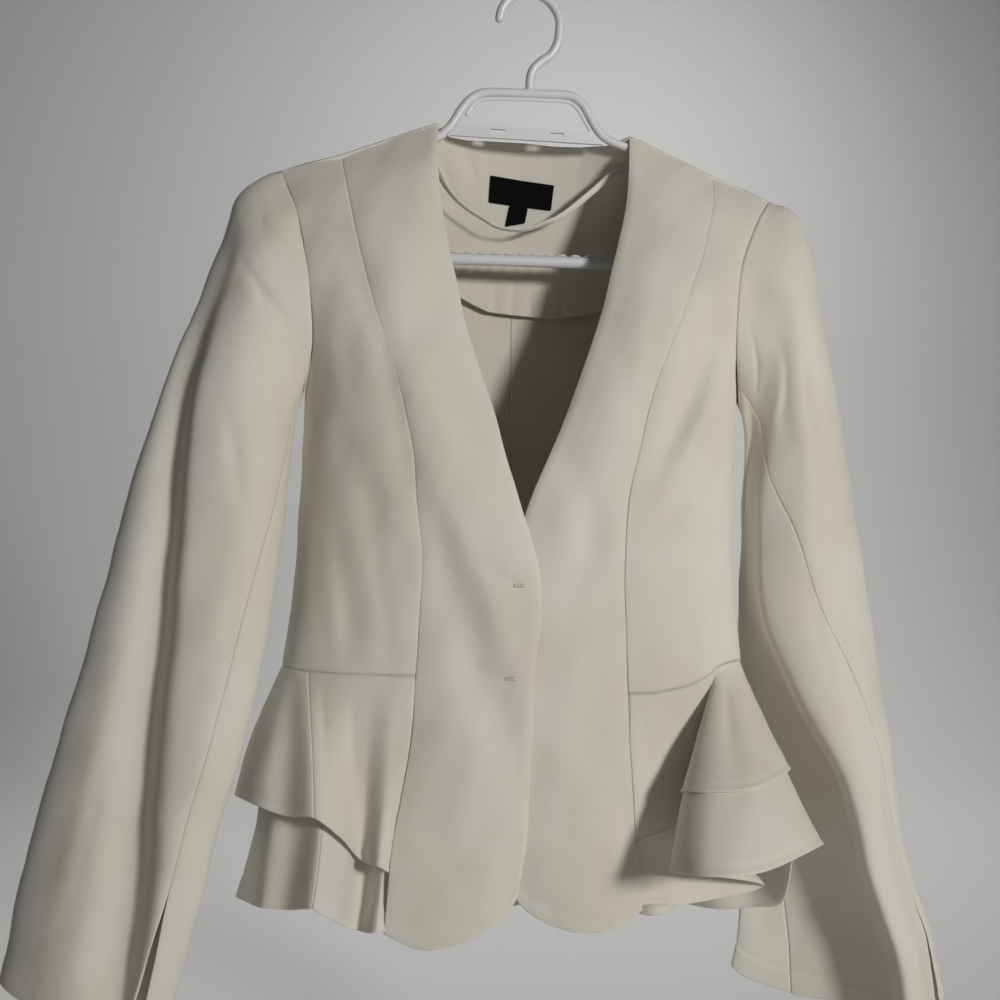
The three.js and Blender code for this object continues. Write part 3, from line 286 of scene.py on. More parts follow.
def shell(name, outer, normal, material, thick=WALL, round_edges=(1, 1, 1, 1)):
    """A closed wall of cloth: the outer grid, an inner grid one thickness down the normals, and a half-
    round rim between them. round_edges says how full the rim is at the top, bottom, left and right (1 a
    folded hem, 0 a seam)."""
    rows, cols = outer.shape[:2]
    inner = outer - normal * thick
    index = np.arange(rows * cols).reshape(rows, cols)
    quads = np.stack([index[:-1, :-1], index[:-1, 1:], index[1:, 1:], index[1:, :-1]], -1).reshape(-1, 4)
    flat = outer.reshape(-1, 3)
    facing = np.cross(flat[quads[:, 1]] - flat[quads[:, 0]], flat[quads[:, 3]] - flat[quads[:, 0]])
    turned = np.sum(facing * normal.reshape(-1, 3)[quads[:, 0]]) < 0
    quads = quads[:, ::-1] if turned else quads
    # the loop round the grid's edge, with the way out of the cloth at each of its points
    out = np.zeros_like(outer)
    full = np.zeros((rows, cols))
    edges = [(0, 1), (-1, -2), (np.s_[:, 0], np.s_[:, 1]), (np.s_[:, -1], np.s_[:, -2])]
    for (here, inward), roundness in zip(edges, round_edges):
        out[here] += unit(outer[here] - outer[inward]) * max(roundness, 1e-3)
        full[here] = np.maximum(full[here], roundness)
    loop = np.concatenate([index[0, :-1], index[:-1, -1], index[-1, :0:-1], index[:0:-1, 0]])
    way = unit(out.reshape(-1, 3)[loop])
    fullness = full.reshape(-1)[loop][:, None] * thick / 2
    down = normal.reshape(-1, 3)[loop]
    rim = [flat[loop] - down * thick * (1 - np.cos(a)) / 2 + way * fullness * np.sin(a)
           for a in np.pi * np.array([0.25, 0.5, 0.75])]
    points = np.concatenate([flat, inner.reshape(-1, 3), *rim])
    n, m = rows * cols, len(loop)
    rings = [loop, *(2 * n + m * k + np.arange(m) for k in range(3)), n + loop]
    bands = np.concatenate(
        [np.stack([np.roll(a, -1), a, b, np.roll(b, -1)], -1) for a, b in zip(rings[:-1], rings[1:])])
    faces = np.concatenate([quads, n + quads[:, ::-1], bands[:, ::-1] if turned else bands])
    uv = np.stack([reach(outer, 1), reach(outer, 0)], -1).reshape(-1, 2)
    places = np.concatenate([uv] * 2 + [uv[loop]] * 3)
    return put_mesh(name, points, faces.tolist(), material, places)


def new_object(name, data):
    """Puts a new object with this data into the scene."""
    made = bpy.data.objects.new(name, data)
    bpy.context.collection.objects.link(made)
    return made


def smooth_mesh(name, points, faces, material):
    """A smooth-shaded mesh from points in mm and faces."""
    mesh = bpy.data.meshes.new(name)
    mesh.from_pydata((points * MM).tolist(), [], faces)
    mesh.polygons.foreach_set("use_smooth", np.ones(len(mesh.polygons), bool))
    mesh.materials.append(material)
    return mesh


def put_mesh(name, points, faces, material, places):
    """Makes a mesh object that rides on the one body; places are millimetres along the cloth for its UV."""
    mesh = smooth_mesh(name, points, faces, material)
    corner = np.empty(len(mesh.loops), int)
    mesh.loops.foreach_get("vertex_index", corner)
    mesh.uv_layers.new(name="Cloth").data.foreach_set("uv", (places[corner] * MM).ravel())
    mesh.update()
    piece = new_object(name, mesh)
    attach(piece, "root")
    return piece


def stands_for(piece, node):
    """Puts a piece in place of its CAD node."""
    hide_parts(node)
    return piece


LAP_BEYOND = 6  # the top panel is carried on past its edge by this many of its first steps
LAP_ROWS, LAP_MEAN = 6, 4  # rows to each side over which the lap is spread, then averaged


def lap_behind(under, top):
    """Moves the under panel back, row by row, until it lies LAP_GAP behind the top one: the top row's y is
    read at the under row's x, the largest lack is taken and spread over near rows, and fades towards the
    princess seam."""
    lack = np.zeros(len(under))
    for j, (a, b) in enumerate(zip(under, top)):
        beyond = b[0] + (b[0] - b[1]) * LAP_BEYOND
        line = np.vstack([beyond, b])
        order = np.argsort(line[:, 0])
        under_top = a[:, 0] <= line[:, 0].max()
        y = np.interp(a[:, 0], line[order, 0], line[order, 1])
        lack[j] = np.max(np.where(under_top, y + LAP_GAP - a[:, 1], 0).clip(0))
    near = np.array([lack[max(0, j - LAP_ROWS) : j + LAP_ROWS + 1].max() for j in range(len(lack))])
    mean = 2 * LAP_MEAN + 1
    near = np.convolve(np.pad(near, LAP_MEAN, mode="edge"), np.ones(mean) / mean, "valid")
    share = 1 - ease(np.linspace(0, 1, under.shape[1]))
    moved = under.copy()
    moved[..., 1] += near[:, None] * share
    return moved


def node_group(name, inputs, outputs):
    """An empty shader node group with the named inputs (name, kind, value) and outputs (name, kind)."""
    group = bpy.data.node_groups.new(name, "ShaderNodeTree")
    for label, kind, value in inputs:
        socket = group.interface.new_socket(name=label, in_out="INPUT", socket_type=kind)
        if value is not None:
            socket.default_value = value
    for label, kind in outputs:
        group.interface.new_socket(name=label, in_out="OUTPUT", socket_type=kind)
    return group, group.nodes.new("NodeGroupInput"), group.nodes.new("NodeGroupOutput")


def add_node(tree, kind, links=None, **settings):
    """Adds one shader node: settings are its properties, links give its inputs values or other sockets."""
    node = tree.nodes.new(kind)
    for key, value in settings.items():
        setattr(node, key, value)
    for key, value in (links or {}).items():
        socket = node.inputs[key]
        if isinstance(value, bpy.types.NodeSocket):
            tree.links.new(value, socket)
        else:
            socket.default_value = value
    return node


def maths(tree, operation, a, b=0.0):
    """One Math node's output."""
    return add_node(tree, "ShaderNodeMath", {0: a, 1: b}, operation=operation).outputs[0]


# Twill weave, for cloth: fine diagonal ribs along the piece's own UV, broken by the threads' unevenness.
twill, twill_in, twill_out = node_group(
    "Twill Weave",
    [("Place", "NodeSocketVector", None), ("Ribs per Metre", "NodeSocketFloat", 900.0)],
    [("Height", "NodeSocketFloat"), ("Slub", "NodeSocketFloat")],
)
place, ribs = twill_in.outputs["Place"], twill_in.outputs["Ribs per Metre"]
split = add_node(twill, "ShaderNodeSeparateXYZ", {0: place})
diagonal = maths(twill, "ADD", split.outputs[0], maths(twill, "MULTIPLY", split.outputs[1], 1.6))
rib = maths(twill, "SINE", maths(twill, "MULTIPLY", maths(twill, "MULTIPLY", diagonal, ribs), 2 * np.pi))
stretch = add_node(twill, "ShaderNodeMapping", {"Vector": place, "Scale": (260.0, 2600.0, 1.0)})
slub = add_node(twill, "ShaderNodeTexNoise", {"Vector": stretch.outputs[0], "Scale": 1.0, "Detail": 2.0})
uneven = maths(twill, "MULTIPLY", slub.outputs["Fac"], 1.4)
twill.links.new(maths(twill, "ADD", maths(twill, "MULTIPLY", rib, 0.35), uneven), twill_out.inputs["Height"])
twill.links.new(slub.outputs["Fac"], twill_out.inputs["Slub"])

# Handling, for cloth: broad soft patches where it was worn and touched, from noise on Object coordinates.
handled, handled_in, handled_out = node_group(
    "Handled Patches",
    [("Place", "NodeSocketVector", None), ("Patches per Metre", "NodeSocketFloat", 9.0)],
    [("Patches", "NodeSocketFloat")],
)
broad = add_node(handled, "ShaderNodeTexNoise", {
    "Vector": handled_in.outputs["Place"], "Scale": handled_in.outputs["Patches per Metre"], "Detail": 4.0})
spread = add_node(handled, "ShaderNodeMapRange", {
    "Value": broad.outputs["Fac"], "From Min": 0.38, "From Max": 0.66})
handled.links.new(spread.outputs[0], handled_out.inputs["Patches"])


def spot(tree, coordinates, centre, size):
    """Mask of one soft round mark: 1 at its centre (metres), 0 past its size."""
    away = add_node(tree, "ShaderNodeVectorMath", {0: coordinates, 1: centre}, operation="DISTANCE")
    return add_node(tree, "ShaderNodeMapRange", {
        "Value": away.outputs["Value"], "From Min": 0.0, "From Max": size, "To Min": 1.0, "To Max": 0.0},
        interpolation_type="SMOOTHSTEP").outputs[0]


def blend(tree, factor, first, second, **settings):
    """One Mix node's colour, from the first to the second by the factor."""
    return add_node(tree, "ShaderNodeMix", {"Factor": factor, 6: first, 7: second}, data_type="RGBA",
                    **settings).outputs[2]


def new_material(name, values):
    """A new material, its node tree and its shader, with uniform values on the shader's own sockets."""
    material = bpy.data.materials.new(name)
    material.use_nodes = True
    shader = material.node_tree.nodes["Principled BSDF"]
    for socket, value in values.items():
        shader.inputs[socket].default_value = value
    return material, material.node_tree, shader


def wire(tree, shader, colour, height, strength, distance, rough=None):
    """Feeds the shader a colour, a bump of that height (distance in metres) and, if given, a roughness: the
    value that drives it, then the least and the most."""
    tree.links.new(colour, shader.inputs["Base Color"])
    bump = add_node(tree, "ShaderNodeBump", {"Height": height, "Strength": strength, "Distance": distance})
    tree.links.new(bump.outputs[0], shader.inputs["Normal"])
    if rough:
        value, low, high = rough
        ranged = add_node(tree, "ShaderNodeMapRange", {"Value": value, "To Min": low, "To Max": high})
        tree.links.new(ranged.outputs[0], shader.inputs["Roughness"])


def ivory_cloth(name, light=(0.77, 0.74, 0.665, 1), worn=(0.715, 0.675, 0.585, 1), weave=0.16, marks=()):
    """Ivory stretch twill: a warm off-white with yellower patches, a fine rib in its bump, a faint
    sheen."""
    material, tree, shader = new_material(
        name, {"Specular IOR Level": 0.25, "Sheen Weight": 0.12, "Sheen Roughness": 0.45})
    where = add_node(tree, "ShaderNodeTexCoord")
    patches = add_node(tree, "ShaderNodeGroup", {}, node_tree=handled)
    tree.links.new(where.outputs["Object"], patches.inputs["Place"])
    threads = add_node(tree, "ShaderNodeGroup", {}, node_tree=twill)
    tree.links.new(where.outputs["UV"], threads.inputs["Place"])
    slub = threads.outputs["Slub"]
    colour = blend(tree, patches.outputs[0], light, worn)
    for centre, size, shade, strength in marks:
        mask = maths(tree, "MULTIPLY", spot(tree, where.outputs["Object"], centre, size), strength)
        colour = blend(tree, mask, colour, (*shade, 1))
    faint = maths(tree, "MULTIPLY", slub, 0.16)
    fine = blend(tree, faint, colour, (0.62, 0.57, 0.48, 1), blend_type="MULTIPLY")
    wire(tree, shader, fine, threads.outputs["Height"], weave, 0.0004, (slub, 0.7, 0.9))
    return material


# Faint marks of wear, and one evenly darker patch over the right sleeve's long hollow: centre in metres,
# size, colour and strength.
suiting = ivory_cloth("ivory twill", marks=[
    ((-0.012, -0.08, -0.505), 0.05, (0.70, 0.62, 0.58), 0.4),
    ((-0.022, -0.078, -0.455), 0.03, (0.66, 0.60, 0.52), 0.3),
    ((0.119, -0.04, -0.196), 0.045, (0.60, 0.59, 0.56), 0.34),
    ((0.205, -0.052, -0.46), 0.05, (0.72, 0.63, 0.58), 0.35),
    ((0.235, -0.05, -0.55), 0.04, (0.72, 0.64, 0.60), 0.3),
    ((-0.150, -0.09, -0.645), 0.05, (0.62, 0.63, 0.62), 0.45),
    # an evenly darker patch, centred on the right sleeve's long hollow
    ((-0.26, -0.05, -0.36), 0.06, (0.68, 0.65, 0.58), 0.3),
    ((0.10, -0.062, -0.47), 0.06, (0.70, 0.67, 0.58), 0.35),
    ((0.14, -0.13, -0.57), 0.05, (0.74, 0.68, 0.62), 0.3),
])

# Soft drag lines and creases seen on the fronts: x, z, half width, depth along each bent line.
FRONT_CREASES = {
    "right": [
        [[-146, -180, 8, 0], [-131, -222, 10, 1.8], [-115, -268, 10, 2.6], [-107, -312, 9, 2.6],
         [-101, -366, 8, 0.4]],
        [[-158, -290, 9, 0], [-143, -335, 12, 2.4], [-125, -385, 12, 2.6], [-106, -432, 10, 0.2]],
        [[-152, -382, 7, 0], [-148, -430, 9, 2.0], [-143, -470, 8, 1.8], [-141, -504, 7, 0.2]],
        [[-127, -392, 7, 0], [-121, -425, 8, 1.7], [-115, -470, 8, 2.0], [-113, -507, 6, 0.3]],
        [[-168, -330, 6, 0], [-166, -400, 8, 1.6], [-162, -470, 7, 1.0], [-160, -502, 6, 0]],
        [[-160, -228, 8, 0], [-156, -270, 9, -1.8], [-146, -320, 9, -1.4], [-136, -362, 8, 0]],
        [[-94, -368, 10, 0], [-66, -440, 15, 3.0], [-34, -520, 16, 3.3], [-12, -600, 12, 0]],
        [[-98, -326, 9, 0], [-74, -380, 11, -1.6], [-46, -440, 11, -1.8], [-24, -502, 9, 0]],
        [[-84, -226, 12, 0], [-70, -290, 13, 1.6], [-52, -350, 12, 1.2], [-36, -404, 9, 0]],
        [[-20, -443, 3.5, 1.0], [-40, -432, 6, 1.1], [-68, -412, 9, 0]],
        [[-28, -511, 3.5, 1.0], [-50, -506, 6, 1.0], [-78, -497, 9, 0]],
        [[-92, -596, 10, 0], [-72, -640, 14, 1.5], [-52, -672, 12, 0]],
        [[-112, -128, 14, 0], [-100, -175, 16, 1.6], [-88, -226, 14, 0]],
    ],
    "left": [
        [[152, -236, 7, 0], [122, -292, 9, 2.9], [98, -331, 9, 3.0], [78, -368, 8, 0.3]],
        [[154, -298, 7, 0], [130, -344, 9, 3.0], [106, -383, 9, 2.8], [82, -421, 8, 0.2]],
        [[154, -370, 7, 0], [143, -416, 8, 2.0], [124, -452, 8, 0.8], [112, -476, 6, 0]],
        [[136, -220, 7, 0], [115, -262, 8, 1.5], [98, -294, 7, 0]],
        [[152, -272, 7, 0], [124, -320, 7, -1.7], [98, -360, 7, -1.5], [80, -394, 6, 0]],
        [[90, -236, 10, 0], [78, -300, 11, 1.7], [70, -352, 9, 0]],
        [[8, -332, 11, 0], [31, -382, 13, 2.1], [42, -430, 12, 1.8], [44, -484, 9, 0]],
        [[52, -246, 10, 0], [62, -300, 11, 1.4], [71, -348, 9, 0]],
        [[34, -478, 12, 0], [39, -540, 14, 1.7], [34, -624, 12, 0]],
        [[96, -438, 10, 0], [110, -482, 12, 1.9], [120, -522, 9, 0.2]],
        [[54, -556, 8, 0], [59, -618, 9, 1.4], [62, -672, 7, 0]],
        [[150, -440, 6, 0], [146, -480, 7, 1.4], [148, -508, 6, 0.2]],
    ],
}


def pressed(half, p, side_fade=1.0):
    """Sinks the points p along y by the creases of that half's front, times side_fade."""
    p[..., 1] += crease_depth(FRONT_CREASES[half], p[..., 0], p[..., 2]) * side_fade
    return p


FRONT_ROWS, FRONT_COLUMNS = np.linspace(0, HEM, 190), 54
FRONT_HEM = 12  # the stitching of the centre fronts lies this far above the hem
front_grid = {}
for half in HALVES:
    across, down = np.meshgrid(lines_across(FRONT_COLUMNS), FRONT_ROWS)
    front_grid[half] = pressed(half, centre_front(half, across, down))
front_grid["left"] = lap_behind(front_grid["left"], front_grid["right"])


def body_shell(name, grid, seams, folds="", hem_depth=0, round_edges=(0, 0, 0, 0), joined=False):
    """The wall of a body panel with its made edges, in place of its CAD node. joined: its first column runs
    on into the other half's, so its normals lose their sideways part there."""
    inside = grid * [0, 0, 1] + [0, -10, 0]
    normal = grid_normals(grid, inside)
    made = grid - normal * (edge_marks(grid, seams, hem_depth, folds) + unevenness(grid))[..., None]
    normal = grid_normals(made, inside)
    if joined:
        normal[:, :3, 0] *= [0, 0.4, 0.8]
        normal = unit(normal)
    return stands_for(shell(name + "_cloth", made, normal, suiting, round_edges=round_edges), name)


for half in HALVES:
    piece = body_shell(f"front_centre_{half}", front_grid[half], "tr", "l", FRONT_HEM, (0, 1, 1, 0))

# The side fronts: from the shoulder and armhole to the waist seam, between princess seam and side seam.
# The waist seam rises above the straight line between its ends: place across the panel, mm.
WAIST_RISE = {
    "right": [[0, 0], [0.5, 1], [1, 0]],
    "left": [[0, 0], [0.12, -2], [0.28, -1], [0.42, 3], [0.52, 9], [0.62, 10], [0.78, 8], [0.9, 4], [1, 0]],
}


def outer_edge(half, t, upper=None):
    """Armhole and side seam, down to the waist: two smooth curves that meet in a corner at the underarm."""
    line = column(half, 2)
    upper = line[: UNDERARM + 1] if upper is None else upper
    seam = smooth(line[UNDERARM:], np.maximum(t, UNDERARM) - UNDERARM)
    return np.where((t < UNDERARM)[..., None], smooth(upper, np.minimum(t, UNDERARM)), seam)


def side_front(half, u, t):
    """Surface of a side front: u from princess seam (0) to armhole or side seam (1), t rows to the
    waist."""
    a, b = smooth(long_column(half, 1), t), outer_edge(half, t)
    corner = np.stack([b[..., 0], a[..., 1] - 2, (a[..., 2] + b[..., 2]) / 2], -1)
    p = arc(a, b, corner, 0.15 + 0.6 * ease((t - 3) / 3), u)
    p[..., 2] += lookup(WAIST_RISE[half], u) * ease((t - 7.5) / 2.5)
    return hollowed(half, p, u)


BODY_ROWS, SIDE_COLUMNS, BACK_COLUMNS = np.linspace(0, WAIST, 150), 44, 56
for half in HALVES:
    across, down = np.meshgrid(lines_across(SIDE_COLUMNS), BODY_ROWS)
    grid = pressed(half, side_front(half, across, down), 1 - ease(across * 1.6 - 0.6))
    piece = body_shell(f"front_side_{half}", grid, "tlrb")

# The back: two panels joined by the centre-back seam, which shows inside the neck. Its centre seam and the
# back of each armhole, row by row: x, y, z.
CENTRE_BACK = [
    [1, 28, -103], [-2, 34, -130], [-4, 40, -175], [-7, 43, -215], [-8, 44, -260], [-8, 44, -302],
    [-8, 43, -342], [-7, 42, -384], [-7, 41, -430], [-7, 40, -470], [-7, 40, -514],
]
BACK_ARMHOLE = {
    "right": [[-181, 15, -164], [-174, 25, -199], [-169, 28, -235], [-168, 17, -272]],
    "left": [[187, 15, -172], [175, 25, -205], [165, 28, -240], [160, 17, -278]],
}
# Back neck and shoulder from the centre back out: place across the panel, x, y, z.
BACK_TOP = {
    "right": [[0, 1, 28, -103], [0.12, -29, 26, -103], [0.2, -46, 22, -104], [0.28, -62, 13, -104],
              [0.35, -71, 0, -97], [0.72, -144, 0, -123], [1, -188, 0, -137]],
    "left": [[0, 1, 28, -103], [0.12, 24, 27, -105], [0.2, 46, 22, -106], [0.28, 67, 12, -106],
             [0.35, 80, 0, -101], [0.72, 148, 0, -130], [1, 194, 0, -148]],
}
# Soft vertical and slanting folds of the hanging back: x, z, half width, depth.
BACK_CREASES = [
    [[-52, -250, 12, 0], [-60, -340, 16, 2.4], [-50, -450, 13, 1.6], [-44, -505, 9, 0]],
    [[60, -230, 11, 0], [72, -330, 15, 2.0], [60, -420, 14, 1.2], [52, -490, 9, 0]],
    [[-128, -215, 9, 0], [-112, -268, 12, 2.2], [-84, -330, 11, 0]],
    [[126, -222, 9, 0], [108, -276, 12, 2.4], [80, -345, 12, 0]],
    [[-14, -300, 9, 0], [-24, -380, 11, 1.2], [-20, -450, 8, 0]],
]


def back_edge(half, t):
    """The back's armhole and side seam: the armhole starts and ends where the side front's does."""
    line = column(half, 2)
    return outer_edge(half, t, np.vstack([line[0], BACK_ARMHOLE[half], line[UNDERARM]]))


def back_panel(half, u, t):
    """Surface of the back: u from the centre back (0) to the armhole or side seam (1), t rows to the waist.
    Near the top it turns into the table of the neck and shoulder line."""

    def base(row):
        a, b = smooth(CENTRE_BACK, row), back_edge(half, row)
        corner = np.stack([b[..., 0], a[..., 1] + 3, (a[..., 2] + b[..., 2]) / 2], -1)
        return arc(a, b, corner, 0.3 + 0.55 * ease((row - 1.5) / 3.5), u)

    table = np.array(BACK_TOP[half], float)
    top = np.stack([np.interp(u, table[:, 0], table[:, k]) for k in (1, 2, 3)], -1)
    fade = np.clip(1 - t / 2.2, 0, 1) ** 2
    return base(t) + (top - base(np.zeros_like(t))) * fade[..., None]


for half in HALVES:
    across, down = np.meshgrid(lines_across(BACK_COLUMNS), BODY_ROWS)
    grid = back_panel(half, across, down)
    quiet = ease(np.minimum(across, 1 - across) * 6) * ease((down - 1) / 3)
    grid[..., 1] -= crease_depth(BACK_CREASES, grid[..., 0], grid[..., 2]) * quiet
    piece = body_shell(f"back_{half}", grid, "trb", joined=True)

# The sleeves: long, flared, each of a top and an under piece, set into the armhole. The front seam is open
# above the cuff. Every piece is a part of one closed tube.

# Sections from the armhole (row 0) to the cuff: x, y, z of the outer and inner edges, then for each point
# between, round the front and back by the back, its share of the way from the outer to the inner edge and
# its y.
SLEEVE = {
    "right": [
        [-188, 0, -137, -172, -17, -301, 0.25, -34, 0.5, -42, 0.75, -38, 0.75, 15, 0.5, 26, 0.25, 16],
        [-205, -4, -145, -175, -17, -308, 0.25, -36, 0.5, -46, 0.78, -40, 0.75, 12, 0.5, 24, 0.25, 17],
        [-221, -8, -162, -178, -18, -321, 0.25, -39, 0.5, -48, 0.78, -42, 0.75, 10, 0.5, 23, 0.25, 17],
        [-233, -12, -197, -181, -20, -343, 0.25, -43, 0.5, -51, 0.8, -45, 0.76, 8, 0.5, 20, 0.25, 15],
        [-250, -16, -241, -185, -24, -377, 0.22, -46, 0.5, -56, 0.8, -50, 0.78, 4, 0.5, 17, 0.25, 13],
        [-276, -20, -306, -190, -32, -420, 0.22, -48, 0.5, -60, 0.8, -57, 0.8, -6, 0.55, 13, 0.28, 11],
        [-300, -22, -382, -197, -42, -465, 0.22, -50, 0.5, -62, 0.8, -64, 0.82, -16, 0.58, 8, 0.3, 10],
        [-320, -24, -458, -206, -52, -510, 0.22, -52, 0.5, -66, 0.8, -72, 0.84, -24, 0.6, 4, 0.3, 9],
        [-340, -25, -526, -217, -60, -560, 0.22, -54, 0.5, -70, 0.8, -79, 0.86, -32, 0.62, 0, 0.3, 8],
        [-360, -26, -591, -229, -66, -596, 0.22, -56, 0.5, -74, 0.8, -84, 0.86, -36, 0.62, -2, 0.3, 8],
        [-378, -26, -657, -245, -70, -658, 0.22, -58, 0.5, -76, 0.8, -88, 0.86, -40, 0.62, -4, 0.3, 8],
        [-393, -26, -728, -272, -68, -758, 0.22, -59, 0.5, -78, 0.8, -88, 0.86, -40, 0.62, -4, 0.3, 8],
    ],
    "left": [
        [194, 0, -148, 163, -17, -311, 0.22, -32, 0.45, -40, 0.65, -38, 0.8, -33, 0.92, -26,
         0.6, 20, 0.3, 18],
        [215, -3, -159, 167, -17, -322, 0.24, -33, 0.45, -43, 0.66, -41, 0.82, -35, 0.94, -27,
         0.6, 20, 0.3, 17],
        [228, -8, -197, 170, -15, -338, 0.24, -36, 0.46, -46, 0.7, -44, 0.85, -36, 0.95, -26,
         0.6, 20, 0.3, 15],
        [237, -12, -259, 170, -14, -374, 0.24, -40, 0.5, -50, 0.84, -42, 0.95, -30, 0.99, -20,
         0.6, 20, 0.3, 14],
        [253, -15, -344, 171, -10, -414, 0.26, -44, 0.56, -54, 0.93, -42, 0.97, -28, 0.99, -16,
         0.6, 24, 0.3, 15],
        [269, -15, -435, 176, 10, -476, 0.28, -46, 0.62, -56, 0.96, -44, 0.94, -20, 0.98, -2,
         0.62, 30, 0.3, 18],
        [282, -15, -508, 185, 28, -546, 0.24, -46, 0.52, -56, 0.79, -48, 0.76, -14, 0.9, 12,
         0.7, 40, 0.3, 22],
        [295, -15, -587, 190, 36, -629, 0.15, -38, 0.32, -50, 0.49, -46, 0.46, -8, 0.74, 25,
         0.72, 50, 0.28, 28],
        [311, -12, -672, 192, 41, -714, 0.12, -32, 0.25, -44, 0.37, -42, 0.36, -2, 0.7, 30,
         0.72, 54, 0.25, 32],
        [339, -8, -751, 191, 43, -758, 0.1, -26, 0.21, -40, 0.32, -40, 0.31, 2, 0.68, 33,
         0.72, 56, 0.22, 34],
        [353, -8, -819, 186, 44, -790, 0.1, -26, 0.2, -38, 0.305, -38, 0.3, 4, 0.66, 34,
         0.72, 57, 0.22, 34],
    ],
}
INNER_PLACE = {"right": 4, "left": 6}  # where the inner edge is among the points round a section
# Places of the front and the back seam among those points, row by row.
SLEEVE_SEAMS = {
    "right": [[3.85, 6.2], [3.8, 6.2], [3.73, 6.2], [3.65, 6.2], [3.5, 6.2], [3.35, 6.2], [3.2, 6.25],
              [3.13, 6.3], [3.08, 6.3], [3.1, 6.3], [3.1, 6.3], [3.05, 6.3]],
    "left": [[5.6, 7.0], [5.0, 6.9], [4.45, 6.7], [3.15, 6.5], [2.45, 6.25], [1.88, 5.7], [1.4, 5.25],
             [0.98, 5.1], [0.76, 5.1], [0.7, 5.1], [0.7, 5.1]],
}
# The long hollow down each sleeve: row, place among the points, half width in places, depth.
SLEEVE_HOLLOW = {
    "right": [[0, 0.9, 0.3, 0], [2, 0.6, 0.3, 0.5], [3.6, 0.62, 0.36, 5], [4.6, 0.78, 0.45, 11],
              [6, 1.38, 0.55, 19], [8, 1.9, 0.6, 22], [10, 2.5, 0.6, 22], [11, 2.75, 0.55, 20]],
    "left": [[0, 1.5, 0.3, 0], [2, 1.5, 0.35, 2], [4, 1.3, 0.4, 5], [6, 1.5, 0.3, 3], [8, 1.2, 0.3, 1],
             [10, 1.2, 0.3, 0]],
}
HOLLOW_STEEP = {"right": 0.42, "left": 1}  # its side towards the body is this much narrower
# Drop of the cuff below the section's own line: place among the points, mm.
CUFF_DROP = {
    "right": [[0, 0], [8, 0]],
    "left": [[0, 0], [3, 0], [4, 10], [5, 17], [5.6, 10], [6, 0], [7, 14], [8, 10], [9, 0]],
}
SET_IN = 1.6  # rows over which the section turns into the armhole
SLIT_ROW = {"right": 9.8, "left": 8.3}  # the front seam is open below this row
SLIT_WIDE = {"right": 0.16, "left": 0.1}  # half of the opening at the cuff, in places


def points_round(half):
    """Number of points round a sleeve's section: its two edges and the pairs of cells between."""
    return (len(SLEEVE[half][0]) - 6) // 2 + 2


def read_smooth(table, t):
    """Smooth reading of a table whose rows begin with their place: the cells after it."""
    return smooth(table, t, [row[0] for row in table])[..., 1:]


def armhole_point(half, place):
    """Point on the armhole at a place round the sleeve: down the side front's edge, back up the back's."""
    count, inner = points_round(half), INNER_PLACE[half]
    front = outer_edge(half, UNDERARM * np.minimum(place, inner) / inner)
    behind = back_edge(half, UNDERARM * np.minimum((count - place) / (count - inner), 1))
    return np.where((place <= inner)[..., None], front, behind)


def sleeve_point(half, t, q, free=False):
    """Surface of a sleeve: t is the row down it and q the place round it. A closed Catmull-Rom curve runs
    round each section; near the armhole the section turns into the armhole itself."""
    rows = SLEEVE[half]
    count, inner = points_round(half), INNER_PLACE[half]
    row = smooth(rows, t)
    outer, innermost = row[..., 0:3], row[..., 3:6]
    ring = []
    for k in range(count):
        if k in (0, inner):
            ring.append(outer if k == 0 else innermost)
            continue
        at = 6 + 2 * (k - 1 if k < inner else k - 2)
        p = outer + (innermost - outer) * row[..., at : at + 1]
        ring.append(np.concatenate([p[..., :1], row[..., at + 1 : at + 2], p[..., 2:]], -1))
    ring = np.stack(ring, -2)
    place = np.mod(q, count)
    i = np.floor(place).astype(int)
    f = (place - i)[..., None]
    a, b, c, d = (np.take_along_axis(ring, np.mod(i + k, count)[..., None, None], -2)[..., 0, :]
                  for k in (-1, 0, 1, 2))
    p = b + 0.5 * f * (c - a + f * (2 * a - 5 * b + 4 * c - d + f * (3 * (b - c) + d - a)))
    centre, wide, deep = np.moveaxis(read_smooth(SLEEVE_HOLLOW[half], t), -1, 0)
    wide = np.where(place > centre, wide * HOLLOW_STEEP[half], wide)
    p[..., 1] += deep * bell(place - centre, wide)
    p[..., 2] -= lookup(CUFF_DROP[half], place) * ease((t - len(rows) + 3.5) / 2.5)
    if free:
        return p
    fade = (np.clip(1 - t / SET_IN, 0, 1) ** 2)[..., None]
    return p + (armhole_point(half, place) - sleeve_point(half, np.zeros_like(t), q, True)) * fade


